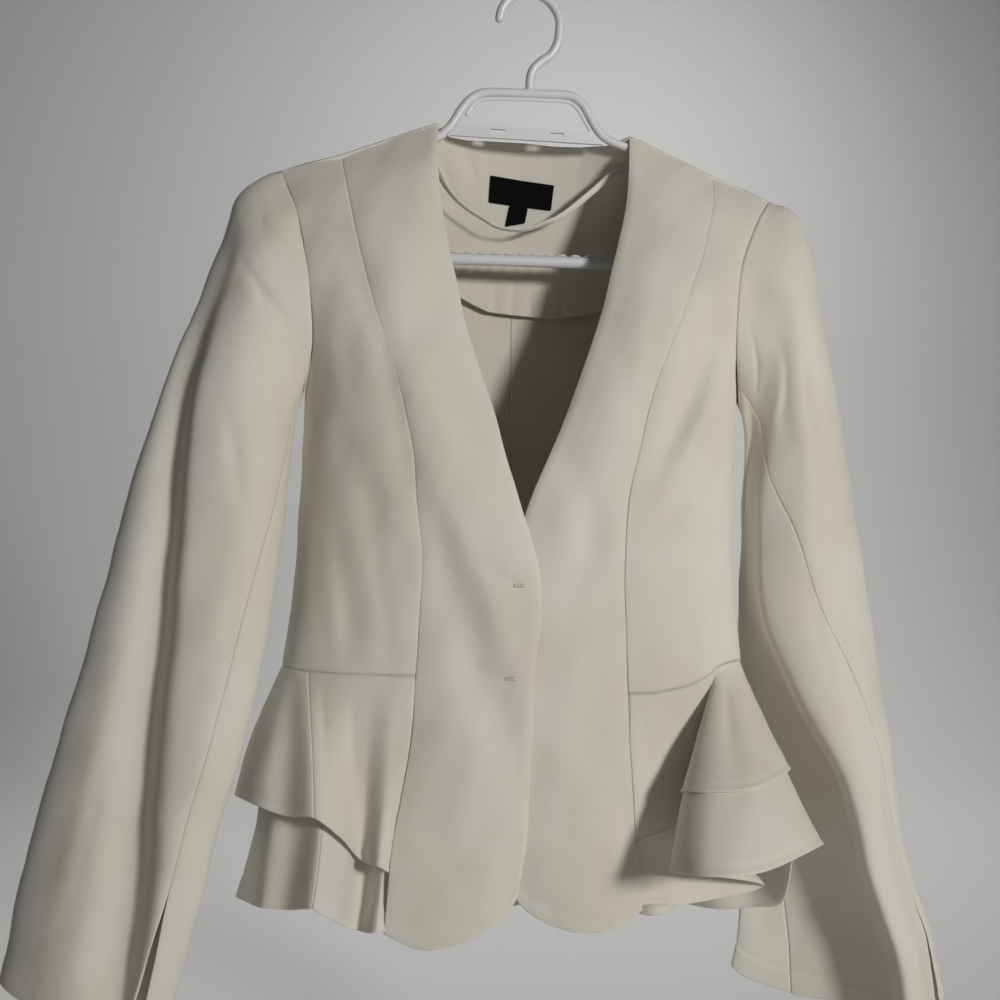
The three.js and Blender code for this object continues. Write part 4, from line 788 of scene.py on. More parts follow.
# Creases of the sleeves: row down, place round, half width (rows and places alike) and depth.
SLEEVE_CREASES = {
    "right": [
        [[2.05, 0.48, 0.16, 0], [1.2, 0.93, 0.18, 1.8], [0.4, 1.38, 0.12, 0]],
        [[2.6, 0.8, 0.16, 0], [1.95, 1.85, 0.2, 2.0], [0.8, 2.75, 0.12, 0.2]],
        [[3.35, 2.05, 0.1, 0], [2.2, 2.7, 0.12, 1.2], [0.7, 3.03, 0.1, 0]],
        [[4.25, 1.73, 0.18, 0], [4.55, 2.25, 0.2, 1.6], [5.1, 2.73, 0.15, 0]],
        [[5.55, 2.85, 0.15, 0], [6.35, 2.93, 0.2, 1.5], [7.25, 3.0, 0.15, 0]],
        [[7.0, 2.35, 0.07, 0], [6.95, 2.8, 0.08, 0.9], [6.95, 3.2, 0.07, 0]],
        [[8.2, 1.2, 0.15, 0], [9.2, 1.4, 0.2, 1.3], [10.2, 1.5, 0.15, 0]],
        [[1.6, 5.2, 0.2, 0], [2.8, 5.6, 0.25, 2.0], [4.4, 5.7, 0.2, 0]],
        [[5.0, 6.9, 0.2, 0], [6.6, 6.7, 0.25, 2.2], [8.2, 6.8, 0.2, 0]],
        [[8.6, 5.4, 0.15, 0], [9.6, 5.8, 0.2, 1.4], [10.6, 5.9, 0.15, 0]],
    ],
    "left": [
        [[0.91, 2.85, 0.15, 0], [2.41, 2.66, 0.2, 1.8], [3.77, 2.14, 0.15, 0]],
        [[0.3, 3.5, 0.12, 0], [0.8, 3.9, 0.14, 1.4], [1.3, 4.6, 0.1, 0]],
        [[5.41, 0.82, 0.07, 0], [5.41, 1.2, 0.08, 1.0], [5.41, 1.61, 0.07, 0]],
        [[4.55, 2.17, 0.15, 0], [5.23, 1.99, 0.2, 1.6], [6.05, 2.1, 0.15, 0]],
        [[6.18, 1.76, 0.12, 0], [6.86, 1.8, 0.18, 1.4], [7.5, 1.65, 0.12, 0]],
        [[8.32, 4.27, 0.06, 0], [8.45, 4.58, 0.07, 1.2], [8.77, 5.06, 0.06, 0]],
        [[5.2, 3.3, 0.12, 0], [6.2, 3.35, 0.15, -2.0], [8, 3.35, 0.15, -2.4], [10, 3.35, 0.15, -2.0]],
        [[1.4, 7.6, 0.2, 0], [2.6, 7.9, 0.25, 2.0], [3.8, 8.1, 0.2, 0]],
        [[4.6, 7.3, 0.2, 0], [5.8, 7.6, 0.25, 1.8], [7.2, 7.5, 0.2, 0]],
        [[7.6, 8.2, 0.15, 0], [8.6, 8.0, 0.2, 1.4], [9.6, 8.1, 0.15, 0]],
    ],
}
SLEEVE_STEPS = 190
SLEEVE_COLUMNS = {"right": (76, 50), "left": (76, 90)}  # of the top and the under piece
SLEEVE_HEM = 20
STEP = 0.02  # rows or places to each side from which a sleeve's normals are taken


def outward(across, down, grid, inside):
    """Unit normals from steps across and down the cloth, turned away from the points `inside`."""
    normal = unit(np.cross(across, down))
    return normal * np.sign(np.sum(normal * (grid - inside)))


def hemmed_shell(name, grid, inside):
    """The wall of a sleeve or peplum piece, round at its lower edge, in place of its CAD node."""
    normal = grid_normals(grid, inside)
    return stands_for(shell(name + "_cloth", grid, normal, suiting, round_edges=(0, 1, 0, 0)), name)


for half in HALVES:
    last, count = len(SLEEVE[half]) - 1, points_round(half)
    down = np.linspace(0, last, SLEEVE_STEPS)[:, None]
    seams = smooth(SLEEVE_SEAMS[half], down[:, 0])[:, None, :]
    slit = SLIT_WIDE[half] * ease((down - SLIT_ROW[half]) / (last - SLIT_ROW[half]))
    front, behind = seams[..., 0], seams[..., 1]
    spans = {"top": (behind - count, front - slit), "under": (front + slit, behind)}
    for (part, (start, end)), columns in zip(spans.items(), SLEEVE_COLUMNS[half]):
        u = lines_across(columns)[None, :]
        q = start + (end - start) * u
        t = np.broadcast_to(down, q.shape)
        grid = sleeve_point(half, t, q)
        inner = sleeve_point(half, t, np.full_like(q, INNER_PLACE[half]))
        middle = (sleeve_point(half, t, np.zeros_like(q)) + inner) / 2
        above, below = np.maximum(t - STEP, 0), np.minimum(t + STEP, last)
        across = sleeve_point(half, t, q + STEP) - sleeve_point(half, t, q - STEP)
        normal = outward(across, sleeve_point(half, below, q) - sleeve_point(half, above, q), grid, middle)
        sunk = edge_marks(grid, "tlr", SLEEVE_HEM) + crease_depth(SLEEVE_CREASES[half], t, q)
        grid = grid - normal * (sunk + unevenness(grid))[..., None]
        piece = hemmed_shell(f"sleeve_{part}_{half}", grid, middle)

# The peplum: two flared tiers sewn into the waist seam, the lower one longer and under the upper. On the
# left a large flute stands forward. Rows run from the princess seam to the centre back: place along the
# waist (0 princess, 1 side seam, 2 centre back), then x, y, z at the upper and at the lower hem.
PEPLUM = {
    "right": [
        [0, -117, -83, -645, -119, -87, -687],
        [0.09, -124, -89, -637, -128, -94, -683],
        [0.22, -134, -72, -638, -138, -75, -688],
        [0.42, -148, -86, -616, -154, -94, -671],
        [0.62, -167, -92, -599, -170, -102, -660],
        [0.76, -187, -72, -603, -189, -78, -669],
        [0.87, -205, -62, -599, -207, -70, -670],
        [0.95, -220, -36, -600, -218, -42, -677],
        [1, -226, -8, -606, -225, -12, -686],
        [1.08, -222, 14, -612, -230, 16, -694],
        [1.22, -196, 22, -618, -204, 20, -702],
        [1.36, -168, 48, -622, -176, 52, -708],
        [1.5, -136, 32, -628, -140, 30, -713],
        [1.62, -104, 49, -630, -106, 53, -717],
        [1.75, -70, 34, -633, -72, 31, -720],
        [1.88, -38, 48, -634, -38, 52, -722],
        [2, -7, 40, -635, -7, 39, -723],
    ],
    "left": [
        [0, 70, -79, -637, 71, -82, -683],
        [0.12, 83, -70, -634, 87, -73, -683],
        [0.26, 102, -56, -633, 115, -54, -693],
        [0.44, 134, -46, -624, 177, -45, -687],
        [0.53, 96, -94, -592, 81, -113, -642],
        [0.58, 106, -120, -585, 90, -158, -629],
        [0.72, 143, -120, -583, 134, -160, -628],
        [0.88, 181, -86, -582, 199, -110, -630],
        [0.96, 190, -38, -598, 206, -46, -661],
        [1, 189, -4, -619, 214, -3, -715],
        [1.1, 179, 14, -630, 198, 17, -727],
        [1.24, 158, 28, -634, 168, 26, -731],
        [1.38, 134, 48, -638, 142, 52, -735],
        [1.52, 106, 32, -640, 112, 30, -735],
        [1.66, 76, 50, -640, 78, 54, -732],
        [1.78, 44, 34, -638, 46, 31, -728],
        [1.9, 18, 47, -636, 18, 50, -725],
        [2, -7, 40, -635, -7, 39, -723],
    ],
}
TIER_SHARE = 0.62  # the upper hem lies at this share of the way to the lower hem
EDGE_SHARE = {"right": 0.82, "left": 0.745}  # and at this share of the way down the princess seam
FLARE_START = 1.3  # the flare begins gently under the waist seam: 1 would be straight from it
TIER_GAP = 0.9  # air between the two tiers
PEPLUM_SEAM = {"right": 0.62, "left": 0.95}  # where the side seam of the tiers meets the waist


def fall(h, top, hem1, hem2, power):
    """Runs from top (h 0) by the upper hem (h TIER_SHARE) to the lower hem (h 1), at first as h^power."""
    b = ((hem1 - top) / TIER_SHARE**power - (hem2 - top)) / (TIER_SHARE - 1)
    return top + h**power * (hem2 - top - b + b * h)


def waist_point(half, w):
    """Point of the waist seam: w 0 at the princess seam, 1 at the side seam, 2 at the centre back."""
    front = side_front(half, np.clip(w, 0, 1), np.full_like(w, WAIST))
    behind = back_panel(half, np.clip(2 - w, 0, 1), np.full_like(w, WAIST))
    return np.where((w <= 1)[..., None], front, behind)


def peplum_knots(half):
    """Spacing of the peplum's rows: their distance apart along the upper hem, to the power 0.75."""
    hem = np.array(PEPLUM[half], float)[:, 1:4]
    return np.concatenate([[0], np.cumsum(np.linalg.norm(np.diff(hem, axis=0), axis=1) ** 0.75)])


def peplum_point(half, s, h):
    """Surface of the peplum: s along the knots from the princess seam, h from waist (0) to lower hem
    (1)."""
    rows, knots = np.array(PEPLUM[half], float), peplum_knots(half)
    row = smooth(rows, s, knots)
    power = (FLARE_START, FLARE_START, 1)

    def dropped(top, hem1, hem2):
        return np.stack([fall(h, top[..., c], hem1[..., c], hem2[..., c], power[c]) for c in range(3)], -1)

    p = dropped(waist_point(half, row[..., 0]), row[..., 1:4], row[..., 4:7])
    fade = np.clip(1 - s / (knots[1] * 1.5), 0, 1)[..., None]
    seam_row = WAIST + (HEM - WAIST) * fall(h, 0.0, EDGE_SHARE[half], 1.0, 1)
    edge = centre_front(half, np.ones_like(seam_row), seam_row)
    start = dropped(waist_point(half, np.zeros_like(s)), rows[0, 1:4] + 0 * p, rows[0, 4:7] + 0 * p)
    return p + (edge - start) * fade


# The lower tier hangs further in than the upper one: place along the waist, depth in mm half way down.
TIER_SINK = {
    "right": [[0, 8], [0.2, 11], [0.42, 13], [0.62, 12], [0.8, 11], [1, 16], [1.25, 10], [1.6, 5], [2, 4]],
    "left": [[0, 3], [0.4, 3], [0.55, 1.2], [0.9, 1.2], [1.02, 4], [1.5, 5], [2, 4]],
}
# Distance of the stitch line from the hem, in mm, for the upper and lower tier.
TIER_HEM = {"right": {"upper": 4, "lower": 17}, "left": {"upper": 3.5, "lower": 4}}
TUCKED = 9  # the lower tier's front edge runs on behind the centre front by this much
# Soft creases of the tiers: place along the waist, share of the way down, half width, depth.
TIER_CREASES = {
    "right": [[[0.05, 0.02, 0.03, 0], [0.07, 0.2, 0.04, 1.2], [0.06, 0.5, 0.04, 0]],
              [[0.30, 0.04, 0.03, 0], [0.32, 0.3, 0.05, 1.6], [0.34, 0.6, 0.05, 0.4]],
              [[0.50, 0.02, 0.03, 0], [0.52, 0.2, 0.04, 1.0], [0.54, 0.5, 0.04, 0]],
              [[1.3, 0.1, 0.05, 0], [1.32, 0.5, 0.06, 2.0], [1.34, 0.9, 0.05, 0]]],
    "left": [[[0.62, 0.06, 0.02, 0], [0.64, 0.3, 0.03, 1.8], [0.67, 0.66, 0.03, 0.3]],
             [[0.76, 0.05, 0.02, 0], [0.78, 0.35, 0.03, 1.4], [0.8, 0.8, 0.03, 0]],
             [[0.06, 0.03, 0.03, 0], [0.10, 0.2, 0.04, 1.4], [0.1, 0.5, 0.04, 0]],
             [[1.45, 0.1, 0.05, 0], [1.47, 0.5, 0.06, 1.6], [1.5, 0.9, 0.05, 0]]],
}
PEPLUM_COLUMNS = {"right": (120, 104), "left": (150, 100)}  # of the front and the back of a tier
TIER_ROWS = {"upper": np.linspace(0, TIER_SHARE, 54), "lower": np.linspace(0, 1, 78)}
SINK_WAY = [0.35, 1, 0]  # the lower tier is sunk towards the body's axis, sideways less than in depth
for half in HALVES:
    knots = peplum_knots(half)
    end_knot = knots[-1]
    trial = np.linspace(0, end_knot, 800)
    split = np.interp(PEPLUM_SEAM[half], smooth(PEPLUM[half], trial, knots)[:, 0], trial)
    spans = {"front": (0, split), "back": (split, end_knot)}
    step = end_knot / 2000
    for tier, rows_h in TIER_ROWS.items():
        for (part, (start, end)), columns in zip(spans.items(), PEPLUM_COLUMNS[half]):
            s, h = np.meshgrid(start + (end - start) * lines_across(columns), rows_h)
            grid = peplum_point(half, s, h)
            inside = np.stack([np.clip(grid[..., 0], -60, 60), 0 * h, grid[..., 2] + 40], -1)
            before, after = np.maximum(s - step, 0), np.minimum(s + step, end_knot)
            above, below = np.maximum(h - 0.01, 0), np.minimum(h + 0.01, 1)
            across = peplum_point(half, after, h) - peplum_point(half, before, h)
            down = peplum_point(half, s, below) - peplum_point(half, s, above)
            normal = outward(across, down, grid, inside)
            if part == "back":  # at the centre back the two halves meet, so nothing there is moved sideways
                last_seam = bell(reach(grid, 1, True), 8)[..., None]
                normal = unit(normal * (1 - last_seam * [1, 0, 0]))
            w = smooth(PEPLUM[half], s, knots)[..., 0]
            sunk = edge_marks(grid, "tlr", TIER_HEM[half][tier])
            sunk = sunk + crease_depth(TIER_CREASES[half], w, h) + unevenness(grid)
            if tier == "lower":
                sunk += WALL + TIER_GAP + 2 * ease(1 - h * 8)
                if part == "front":  # its front edge turns to the front and runs on behind the centre front
                    close = bell(reach(grid, 1), 12)[..., None]
                    normal = unit(normal * (1 - close) + np.array([0, -1, 0]) * close)
                    tuck = np.array([TUCKED if half == "right" else -TUCKED, 4, 0])
                    grid += tuck * close * ease(h * 4)[..., None]
                deeper = read_smooth(TIER_SINK[half], w)
                grid = grid - unit((grid - inside) * SINK_WAY) * deeper * np.sin(np.pi * h**1.5)[..., None]
            grid = grid - normal * sunk[..., None]
            piece = hemmed_shell(f"peplum_{tier}_{part}_{half}", grid, inside)

# The back neck facing: one piece of the same twill inside the back neck, sewn at the neck edge, its lower
# edge hanging free. It is made from the back's own points, moved inwards. Rows of the back on which its
# upper and lower edges lie: place across the back, row.
FACING_TOP = [[0, 0.02], [0.2, 0.02], [0.3, 0.06], [0.36, 0.16], [0.5, 0.55]]
FACING_HEM = {
    "right": [[0, 3.5], [0.08, 3.42], [0.14, 3.26], [0.2, 3.08], [0.32, 2.8], [0.5, 2.3]],
    "left": [[0, 3.5], [0.12, 3.5], [0.27, 3.33], [0.38, 3.1], [0.5, 2.7]],
}
FACING_WIDE = 0.5  # it reaches this share of the way across each back panel
FACING_THICK = 1.0


def facing_point(w, v, lift=0.0):
    """Surface of the facing: w from the wearer's right (-1) to left (1), v from the upper (0) to the lower
    edge (1). It lies inside the back by a wall and a gap of 0.2 + 3.9 v^2 + 2.5 v^6 mm. Also gives the way
    in from the back."""
    u = np.abs(w) * FACING_WIDE
    hem = np.where(w < 0, lookup(FACING_HEM["right"], u), lookup(FACING_HEM["left"], u))
    top = lookup(FACING_TOP, u)
    t = top + (hem - top) * v

    def on_back(place, row):
        across = np.abs(place) * FACING_WIDE
        right, left = (back_panel(half, across, row) for half in HALVES)
        return np.where((place < 0)[..., None], right, left)

    e = 0.04
    n = unit(np.cross(on_back(w, t + e) - on_back(w, t - e), on_back(w + e, t) - on_back(w - e, t)))
    inward = n * np.where(n[..., 1:2] > 0, -1, 1)
    return on_back(w, t) + inward * (WALL + 0.2 + 3.9 * v**2 + 2.5 * v**6 + lift)[..., None], inward


# Tucks above the facing's lower edge and softer creases at its side: w, v, half width, depth.
FACING_CREASES = [
    [[0.02, 0.8, 0.02, 0], [0.0, 0.9, 0.022, 0.7], [0.0, 1.0, 0.02, 0.9]],
    [[0.12, 0.82, 0.02, 0], [0.11, 0.92, 0.02, 0.6], [0.12, 1.0, 0.02, 0.8]],
    [[0.21, 0.78, 0.02, 0], [0.22, 0.9, 0.024, 0.8], [0.21, 1.0, 0.02, 0.9]],
    [[0.33, 0.84, 0.02, 0], [0.32, 0.93, 0.02, 0.5], [0.33, 1.0, 0.02, 0.6]],
    [[-0.1, 0.8, 0.03, 0], [-0.12, 0.9, 0.03, 0.7], [-0.11, 1.0, 0.03, 0.8]],
    [[-0.62, 0.1, 0.03, 0], [-0.55, 0.3, 0.05, 1.6], [-0.46, 0.5, 0.04, 0]],
    [[-0.8, 0.3, 0.03, 0], [-0.66, 0.42, 0.04, 1.8], [-0.5, 0.44, 0.03, 0.2]],
    [[-0.4, 0.05, 0.03, 0], [-0.36, 0.2, 0.04, 1.0], [-0.3, 0.34, 0.03, 0]],
    [[0.55, 0.1, 0.04, 0], [0.5, 0.35, 0.06, 1.2], [0.42, 0.6, 0.04, 0]],
]
w, v = np.meshgrid(np.linspace(-1, 1, 160), lines_across(76))
grid, inward = facing_point(w, v, FACING_THICK)
grid = grid - inward * (crease_depth(FACING_CREASES, w, v) * ease(v * 6))[..., None]
facing = shell("back_neck_facing_cloth", grid, inward, suiting, thick=FACING_THICK, round_edges=(0, 1, 0, 0))
stands_for(facing, "back_neck_facing")

# The label and the size tab: black woven damask, bare, sewn to the facing at their ends. Their corners,
# x and z, are the part's own.
LABEL = [[-26, -129], [25, -135], [23, -154], [-27, -149]]
SIZE_TAB = [[-10, -151.9], [4, -153.4], [2, -164], [-13, -167]]
LABEL_GAP = 0.5

label_black, tree, shader = new_material("black woven label", {"Roughness": 0.8, "Specular IOR Level": 0.08})
where = add_node(tree, "ShaderNodeTexCoord")
threads = add_node(tree, "ShaderNodeGroup", {"Ribs per Metre": 2200.0}, node_tree=twill)
tree.links.new(where.outputs["UV"], threads.inputs["Place"])
black = blend(tree, threads.outputs["Slub"], (0.0015, 0.0015, 0.002, 1), (0.005, 0.005, 0.0065, 1))
wire(tree, shader, black, threads.outputs["Height"], 0.4, 0.0002)


def on_facing(corners, size, lift):
    """A four-cornered patch laid on the facing: its x and z are blended from the corners, and the facing's
    w and v under them are found by repeated corrections, each smaller than the way (80 mm across, 130 mm
    down) that is left."""
    u, v = np.meshgrid(np.linspace(0, 1, size[0]), np.linspace(0, 1, size[1]))
    shares = [(1 - v) * (1 - u), (1 - v) * u, v * u, v * (1 - u)]
    xz = sum(share[..., None] * corner for share, corner in zip(shares, np.array(corners, float)))
    x, z = xz[..., 0], xz[..., 1]
    w, down = x / 80, np.clip((z + 100) / -130, 0, 1)
    for _ in range(60):
        p = facing_point(w, down)[0]
        w, down = w + (x - p[..., 0]) / 160, down + (p[..., 2] - z) / 260
    p, n = facing_point(w, down)
    return p + n * lift, n


for name, corners, size, thick in (("label", LABEL, (42, 18), 0.8), ("size_tab", SIZE_TAB, (16, 14), 1.2)):
    grid, inward = on_facing(corners, size, FACING_THICK + LABEL_GAP + thick)
    stands_for(shell(name + "_woven", grid, inward, label_black, thick=thick), name)

# The hanging loop: a white satin ribbon 5 mm wide, caught in the shoulder seams, that hangs across in front
# of the facing. Its route points are the part's own: x, y, z.
RIBBON = [5.0, 1.0]  # width and thickness
LOOP = [
    [-72, 8, -128], [-64, 9, -143], [-52, 10, -156], [-34, 12, -167], [-21, 13, -173], [-2, 13, -174],
    [15, 13, -168], [30, 12, -161], [51, 10, -144], [73, 8, -126],
]
LOOP_STEPS = 90


def loop_end(half):
    """Where the ribbon is caught: inside the back, just under the shoulder seam."""
    def at(u, t):
        return back_panel(half, np.array([u]), np.array([t]))[0]

    p = at(0.42, 0.4)
    n = unit(np.cross(at(0.45, 0.4) - p, at(0.42, 0.5) - p))
    return p + n * (-1 if n[1] > 0 else 1) * (WALL + 1.3)


def tube(name, path, radii, sides, material, flat=None, turn=0.0):
    """A profile carried along a path: an ellipse with radii (across, up), its first axis kept as near as
    can be to `flat` or to the last one, closed by a fan at each end. turn rolls the profile, in radians at
    each point."""
    path = np.asarray(path, float)
    ahead = unit(np.gradient(path, axis=0))
    reference = np.array([0, 1, 0] if flat is None else flat, float)
    first = np.empty_like(path)
    for k, way in enumerate(ahead):
        first[k] = unit(reference - way * (reference @ way))
        reference = first[k] if flat is None else reference
    second = np.cross(ahead, first)
    angle = 2 * np.pi * (np.arange(sides) + 0.5) / sides
    across, up = np.broadcast_to(np.asarray(radii, float), (len(path), 2)).T
    roll = np.broadcast_to(np.asarray(turn, float), len(path))[:, None]
    a, b = across[:, None] * np.cos(angle), up[:, None] * np.sin(angle)
    a, b = a * np.cos(roll) - b * np.sin(roll), a * np.sin(roll) + b * np.cos(roll)
    ring = path[:, None] + first[:, None] * a[..., None] + second[:, None] * b[..., None]
    index = np.arange(len(path) * sides).reshape(len(path), sides)
    step = np.roll(index, -1, 1)
    quads = np.stack([index[:-1], step[:-1], step[1:], index[1:]], -1).reshape(-1, 4)
    points = np.concatenate([ring.reshape(-1, 3), path[[0, -1]]])
    start, end = len(points) - 2, len(points) - 1
    fans = [[start, step[0, k], index[0, k]] for k in range(sides)]
    fans += [[end, index[-1, k], step[-1, k]] for k in range(sides)]
    girth = np.linspace(0, 2 * np.pi * across.mean(), sides)
    length = np.concatenate([[0], np.cumsum(np.linalg.norm(np.diff(path, axis=0), axis=1))])
    places = np.stack(np.broadcast_arrays(girth[None, :], length[:, None]), -1).reshape(-1, 2)
    places = np.concatenate([places, [[0, 0], [0, length[-1]]]])
    return put_mesh(name, points, quads.tolist() + fans, material, places)


satin, tree, shader = new_material("white satin", {"Roughness": 0.3, "Sheen Weight": 0.3})
where = add_node(tree, "ShaderNodeTexCoord")
fibres = add_node(tree, "ShaderNodeMapping", {"Vector": where.outputs["UV"], "Scale": (4200.0, 120.0, 1.0)})
grain = add_node(tree, "ShaderNodeTexNoise", {"Vector": fibres.outputs[0], "Scale": 1.0, "Detail": 2.0})
white = blend(tree, grain.outputs["Fac"], (0.86, 0.84, 0.79, 1), (0.7, 0.67, 0.6, 1))
wire(tree, shader, white, grain.outputs["Fac"], 0.3, 0.0002)

route = np.array([loop_end("right"), *LOOP, loop_end("left")])
loop_line = smooth(route, np.linspace(0, len(route) - 1, LOOP_STEPS))
# It lies flat to the viewer at the wearer's left and turns on edge to the right: place, radians.
TWIST = [[0, 0.35], [0.1, 0.6], [0.25, 1.25], [0.5, 1.3], [0.62, 1.0], [0.75, 0.3], [1, 0.1]]
twist = read_smooth(TWIST, np.linspace(0, 1, LOOP_STEPS))[:, 0]
ribbon = tube("hanging_loop_ribbon", loop_line, [RIBBON[1] / 2, RIBBON[0] / 2], 12, satin, [0, 1, 0], twist)
stands_for(ribbon, "hanging_loop")

# The fastening bars: two hand-sewn thread bars, 10 mm long, on the right front's edge, bound by the turns
# of their own thread. x and z of the middle, and the row from which it is looked for.
BARS = [[-19, -443, 8.6], [-26, -511, 10.0]]
BAR_HALF, BAR_STEPS, BAR_TURNS = 0.052, 96, 9  # half length in u, points along it, turns on each half
BAR_RADII = [0.75, 1.15]
thread = ivory_cloth("ivory thread", (0.78, 0.73, 0.62, 1), (0.7, 0.64, 0.52, 1), 0.5)
for k, (x, z, t) in enumerate(BARS):
    u, t = np.array([0.2]), np.array([t])
    for _ in range(80):
        p = centre_front("right", u, t)
        u, t = u + (p[..., 0] - x) / 240, t + (p[..., 2] - z) / 90
    along = np.linspace(-1, 1, BAR_STEPS)
    bar = pressed("right", centre_front("right", u + BAR_HALF * along, np.repeat(t, BAR_STEPS)))
    bar[:, 1] += 0.5 - 1.3 * (1 - along**6)
    wound = 1 + 0.14 * np.cos(2 * np.pi * BAR_TURNS * along) - 0.35 * along**8
    name = f"fastening_bar_{k + 1}"
    stands_for(tube(name + "_thread", bar, wound[:, None] * BAR_RADII, 12, thread), name)

# The hanger: one moulding of glossy white plastic, with a bent hook, an arch, two arms inside the
# shoulders, a flat bar with two slots and a round bar for trousers with small nubs on top.
HOOK_RADIUS = 23.6  # of its centre line
ROD = 3.5  # radius of the rod
ARM_DROP = 12  # the arms run this far under the shoulder line
white_plastic, tree, shader = new_material("white plastic", {})
where = add_node(tree, "ShaderNodeTexCoord").outputs["Object"]
orange_peel, dust = (
    add_node(tree, "ShaderNodeTexNoise", {"Vector": where, "Scale": scale, "Detail": detail}).outputs["Fac"]
    for scale, detail in ((420.0, 2.0), (60.0, 5.0)))
white = blend(tree, dust, (0.78, 0.785, 0.80, 1), (0.71, 0.715, 0.73, 1))
wire(tree, shader, white, orange_peel, 0.08, 0.0003, (dust, 0.22, 0.42))


def moulded(name, path, radii, sides, node=None):
    """One rod of the moulding, in place of its CAD node, which has the same name unless it is given."""
    rod = tube(f"hanger_{name}_moulded", path, radii, sides, white_plastic)
    stands_for(rod, node or f"hanger_{name}")


def domed(path, radius):
    """A path and its radii with a half ball on each end: on by radius sin(a), shrinking to radius
    cos(a)."""
    path, a = np.asarray(path, float), np.radians([88, 72, 50, 25])[:, None]
    start, end = (path[i] + unit(path[i] - path[j]) * radius * np.sin(a) for i, j in ((0, 1), (-1, -2)))
    radii = radius * np.vstack([np.cos(a), np.ones((len(path), 1)), np.cos(a[::-1])])
    return np.vstack([start, path, end[::-1]]), np.repeat(radii, 2, 1)


def rounded_path(points, per_step=6):
    """A smooth curve through the given points."""
    return smooth(points, np.linspace(0, len(points) - 1, per_step * (len(points) - 1) + 1))


turns = np.radians(np.linspace(172, -10, 13))
bow = np.stack([HOOK_RADIUS * np.cos(turns), 0 * turns, HOOK_RADIUS * np.sin(turns) - HOOK_RADIUS + ROD], -1)
neck = [[22, 0, -33], [17, 0, -42], [9, 0, -48], [3, 0, -54], [0.5, 0, -61], [0, 0, -68]]
line, radii = domed(rounded_path(np.vstack([bow, neck])), ROD)
moulded("hook", line, radii, 20)


def arm(half):
    """Centre line of an arm, inside the shoulder."""
    (x0, _, z0, _, _, _, x1, _, z1) = BODY[half][0]
    out = np.sign(x1)
    return [[x0 + 3 * out, 0, z0 - ARM_DROP], [(x0 + x1) / 2, 0, (z0 + z1) / 2 - ARM_DROP - 1],
            [x1 - 9 * out, 0, z1 - ARM_DROP - 3]]


arch = [[-66, 0, -104], [-60, 0, -98], [-53, 0, -87], [-45, 0, -78], [-34, 0, -73], [-10, 0, -72.4],
        [10, 0, -72.2], [31, 0, -72.5], [41, 0, -78], [47, 0, -87], [53, 0, -97], [62, 0, -105]]
moulded("frame", rounded_path([*arm("right")[::-1], *arch, *arm("left")]), [3, 3.4], 20)
rib_line = [[-49, 0, -91], [-43, 0, -82.5], [-34, 0, -78], [-10, 0, -76.9], [10, 0, -76.7], [30, 0, -77.4],
            [37.5, 0, -82], [43, 0, -90], [48.5, 0, -99.5]]
moulded("rib", rounded_path(rib_line), [0.7, 1.5], 12, "hanger_frame")

BAR_RADIUS = 4.5
bar_line = [[-150, 0, -144.8], [-149, 0, -170], [-141, 0, -188], [-124, 0, -198], [-100, 0, -199],
            [0, 0, -200], [100, 0, -201], [126, 0, -201], [145, 0, -192], [153, 0, -176], [154, 0, -152.5]]
moulded("bar", rounded_path(bar_line), [BAR_RADIUS, BAR_RADIUS], 24)
# Each nub is a low bow on top of the bar, 6.4 mm long. The bar falls by 1 mm in 100.
f = np.linspace(0, 1, 13)
swell = np.sin(np.pi * f) ** 0.5
for k, x in enumerate(np.linspace(-58, 57.5, 12)):
    z = -199 - (x + 100) * 0.01 + 4.4
    nub = np.stack([x + 3.2 * np.cos(np.pi * f), 0 * f, z + 0.9 * np.sin(np.pi * f) ** 0.7], -1)
    moulded(f"nub_{k + 1}", nub, np.stack([0.3 + 1.5 * swell, 0.1 + 0.7 * swell], -1), 12)
# The flat bar with its two slots is the part's own node, in the same plastic.
flat_bar = bpy.data.objects["hanger_flat_bar"]
flat_bar.data.materials.clear()
flat_bar.data.materials.append(white_plastic)

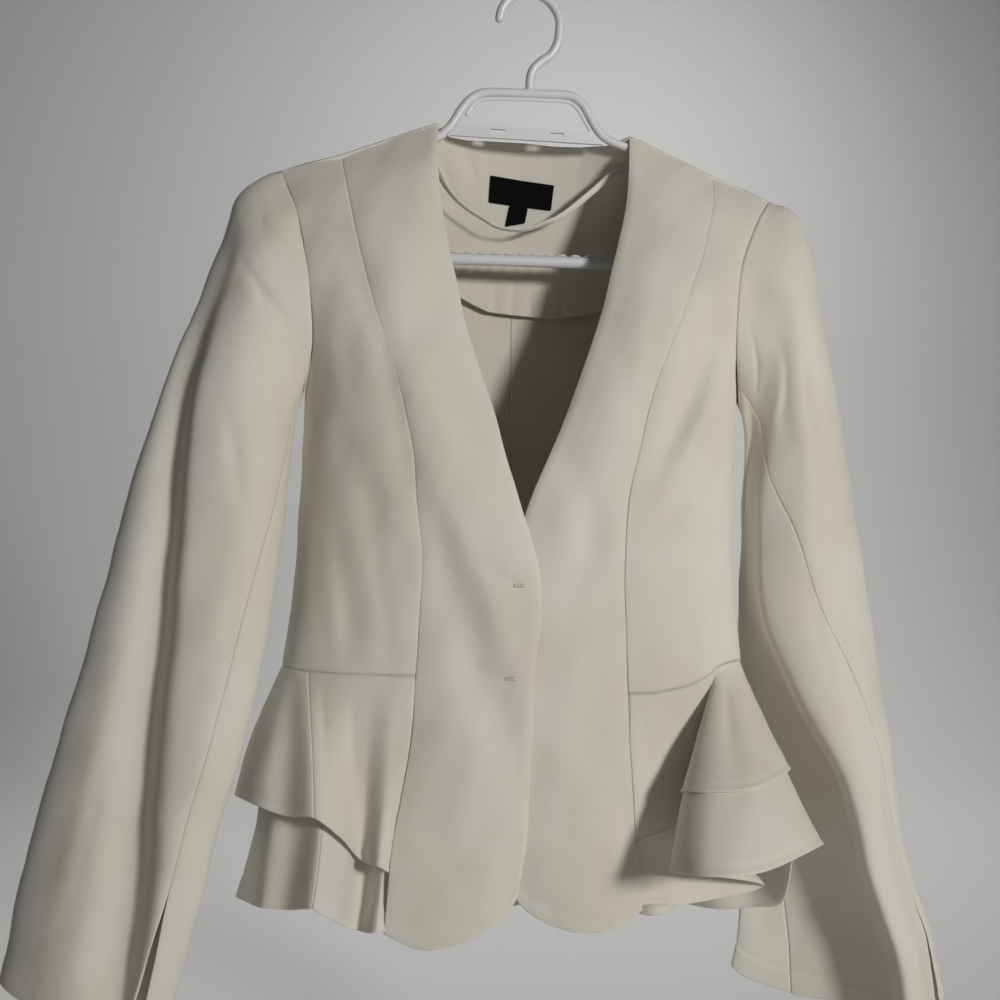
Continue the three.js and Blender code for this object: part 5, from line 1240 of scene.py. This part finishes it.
# The studio: a plain pale floor that sweeps up far behind, a small key lamp from the upper right, a weak
# fill, a lamp behind, one for the backdrop and a faint surround. The camera is where the photo's was.
FLOOR_Z, WALL_Y, SWEEP_RADIUS = -1300, 3600, 1500
FLOOR_FRONT, FLOOR_SIDE, WALL_TOP = -6000, 7000, 4500
bend = np.radians(np.linspace(-90, 0, 48))
curve = [WALL_Y + SWEEP_RADIUS * (np.cos(bend) - 1), FLOOR_Z + SWEEP_RADIUS * (1 + np.sin(bend))]
y, z = np.vstack([[[FLOOR_FRONT, FLOOR_Z]], np.stack(curve, -1), [[WALL_Y, WALL_TOP]]]).T
sweep = np.stack([np.stack([np.full(len(y), x), y, z], -1) for x in (-FLOOR_SIDE, FLOOR_SIDE)], 1)
index = np.arange(2 * len(y)).reshape(-1, 2)
quads = np.stack([index[:-1, 0], index[:-1, 1], index[1:, 1], index[1:, 0]], -1)
pale = new_material("pale floor", {"Base Color": (0.80, 0.80, 0.79, 1), "Roughness": 0.8})[0]
new_object("floor", smooth_mesh("floor", sweep.reshape(-1, 3), quads.tolist(), pale))


def aim(thing, target):
    """Turns a lamp to look at a point."""
    way = thing.location - type(thing.location)(target)
    thing.rotation_euler = way.to_track_quat("Z", "Y").to_euler()


# Lamps: name, place and target in metres, width in metres, watts and colour.
LAMPS = [
    ("key", (1.24, -2.19, 0.23), (0.0, 0.0, -0.46), 0.34, 38, (1.0, 0.99, 0.965)),
    ("fill", (-0.6, -2.4, -0.3), (0.0, 0.0, -0.45), 1.8, 0.6, (0.97, 0.98, 1.0)),
    ("behind", (-1.2, 1.9, 0.5), (0.0, 0.0, -0.45), 0.8, 9, (1.0, 1.0, 0.99)),
    ("backdrop", (1.1, 1.5, 0.9), (0.0, 3.6, -0.6), 1.6, 27, (1.0, 1.0, 0.99)),
]
for name, place, target, size, watts, colour in LAMPS:
    lamp = bpy.data.lights.new(name, "AREA")
    lamp.size, lamp.energy, lamp.color = size, watts, colour
    lamp_object = new_object(name, lamp)
    lamp_object.location = place
    lamp_object.visible_camera = False
    aim(lamp_object, target)
world = bpy.data.worlds.new("surround")
bpy.context.scene.world = world
world.use_nodes = True
surround = world.node_tree.nodes["Background"].inputs
surround["Color"].default_value, surround["Strength"].default_value = (0.86, 0.88, 0.92, 1), 0.055
bpy.context.scene.view_settings.view_transform = "Standard"

camera = bpy.data.cameras.new("camera")
camera.lens, camera.sensor_width = 41.54, 36
camera_object = new_object("camera", camera)
camera_object.location = (-0.15567, -0.88889, -0.33784)
camera_object.rotation_euler = (np.radians(87), 0, np.radians(-8.5))
bpy.context.scene.camera = camera_object
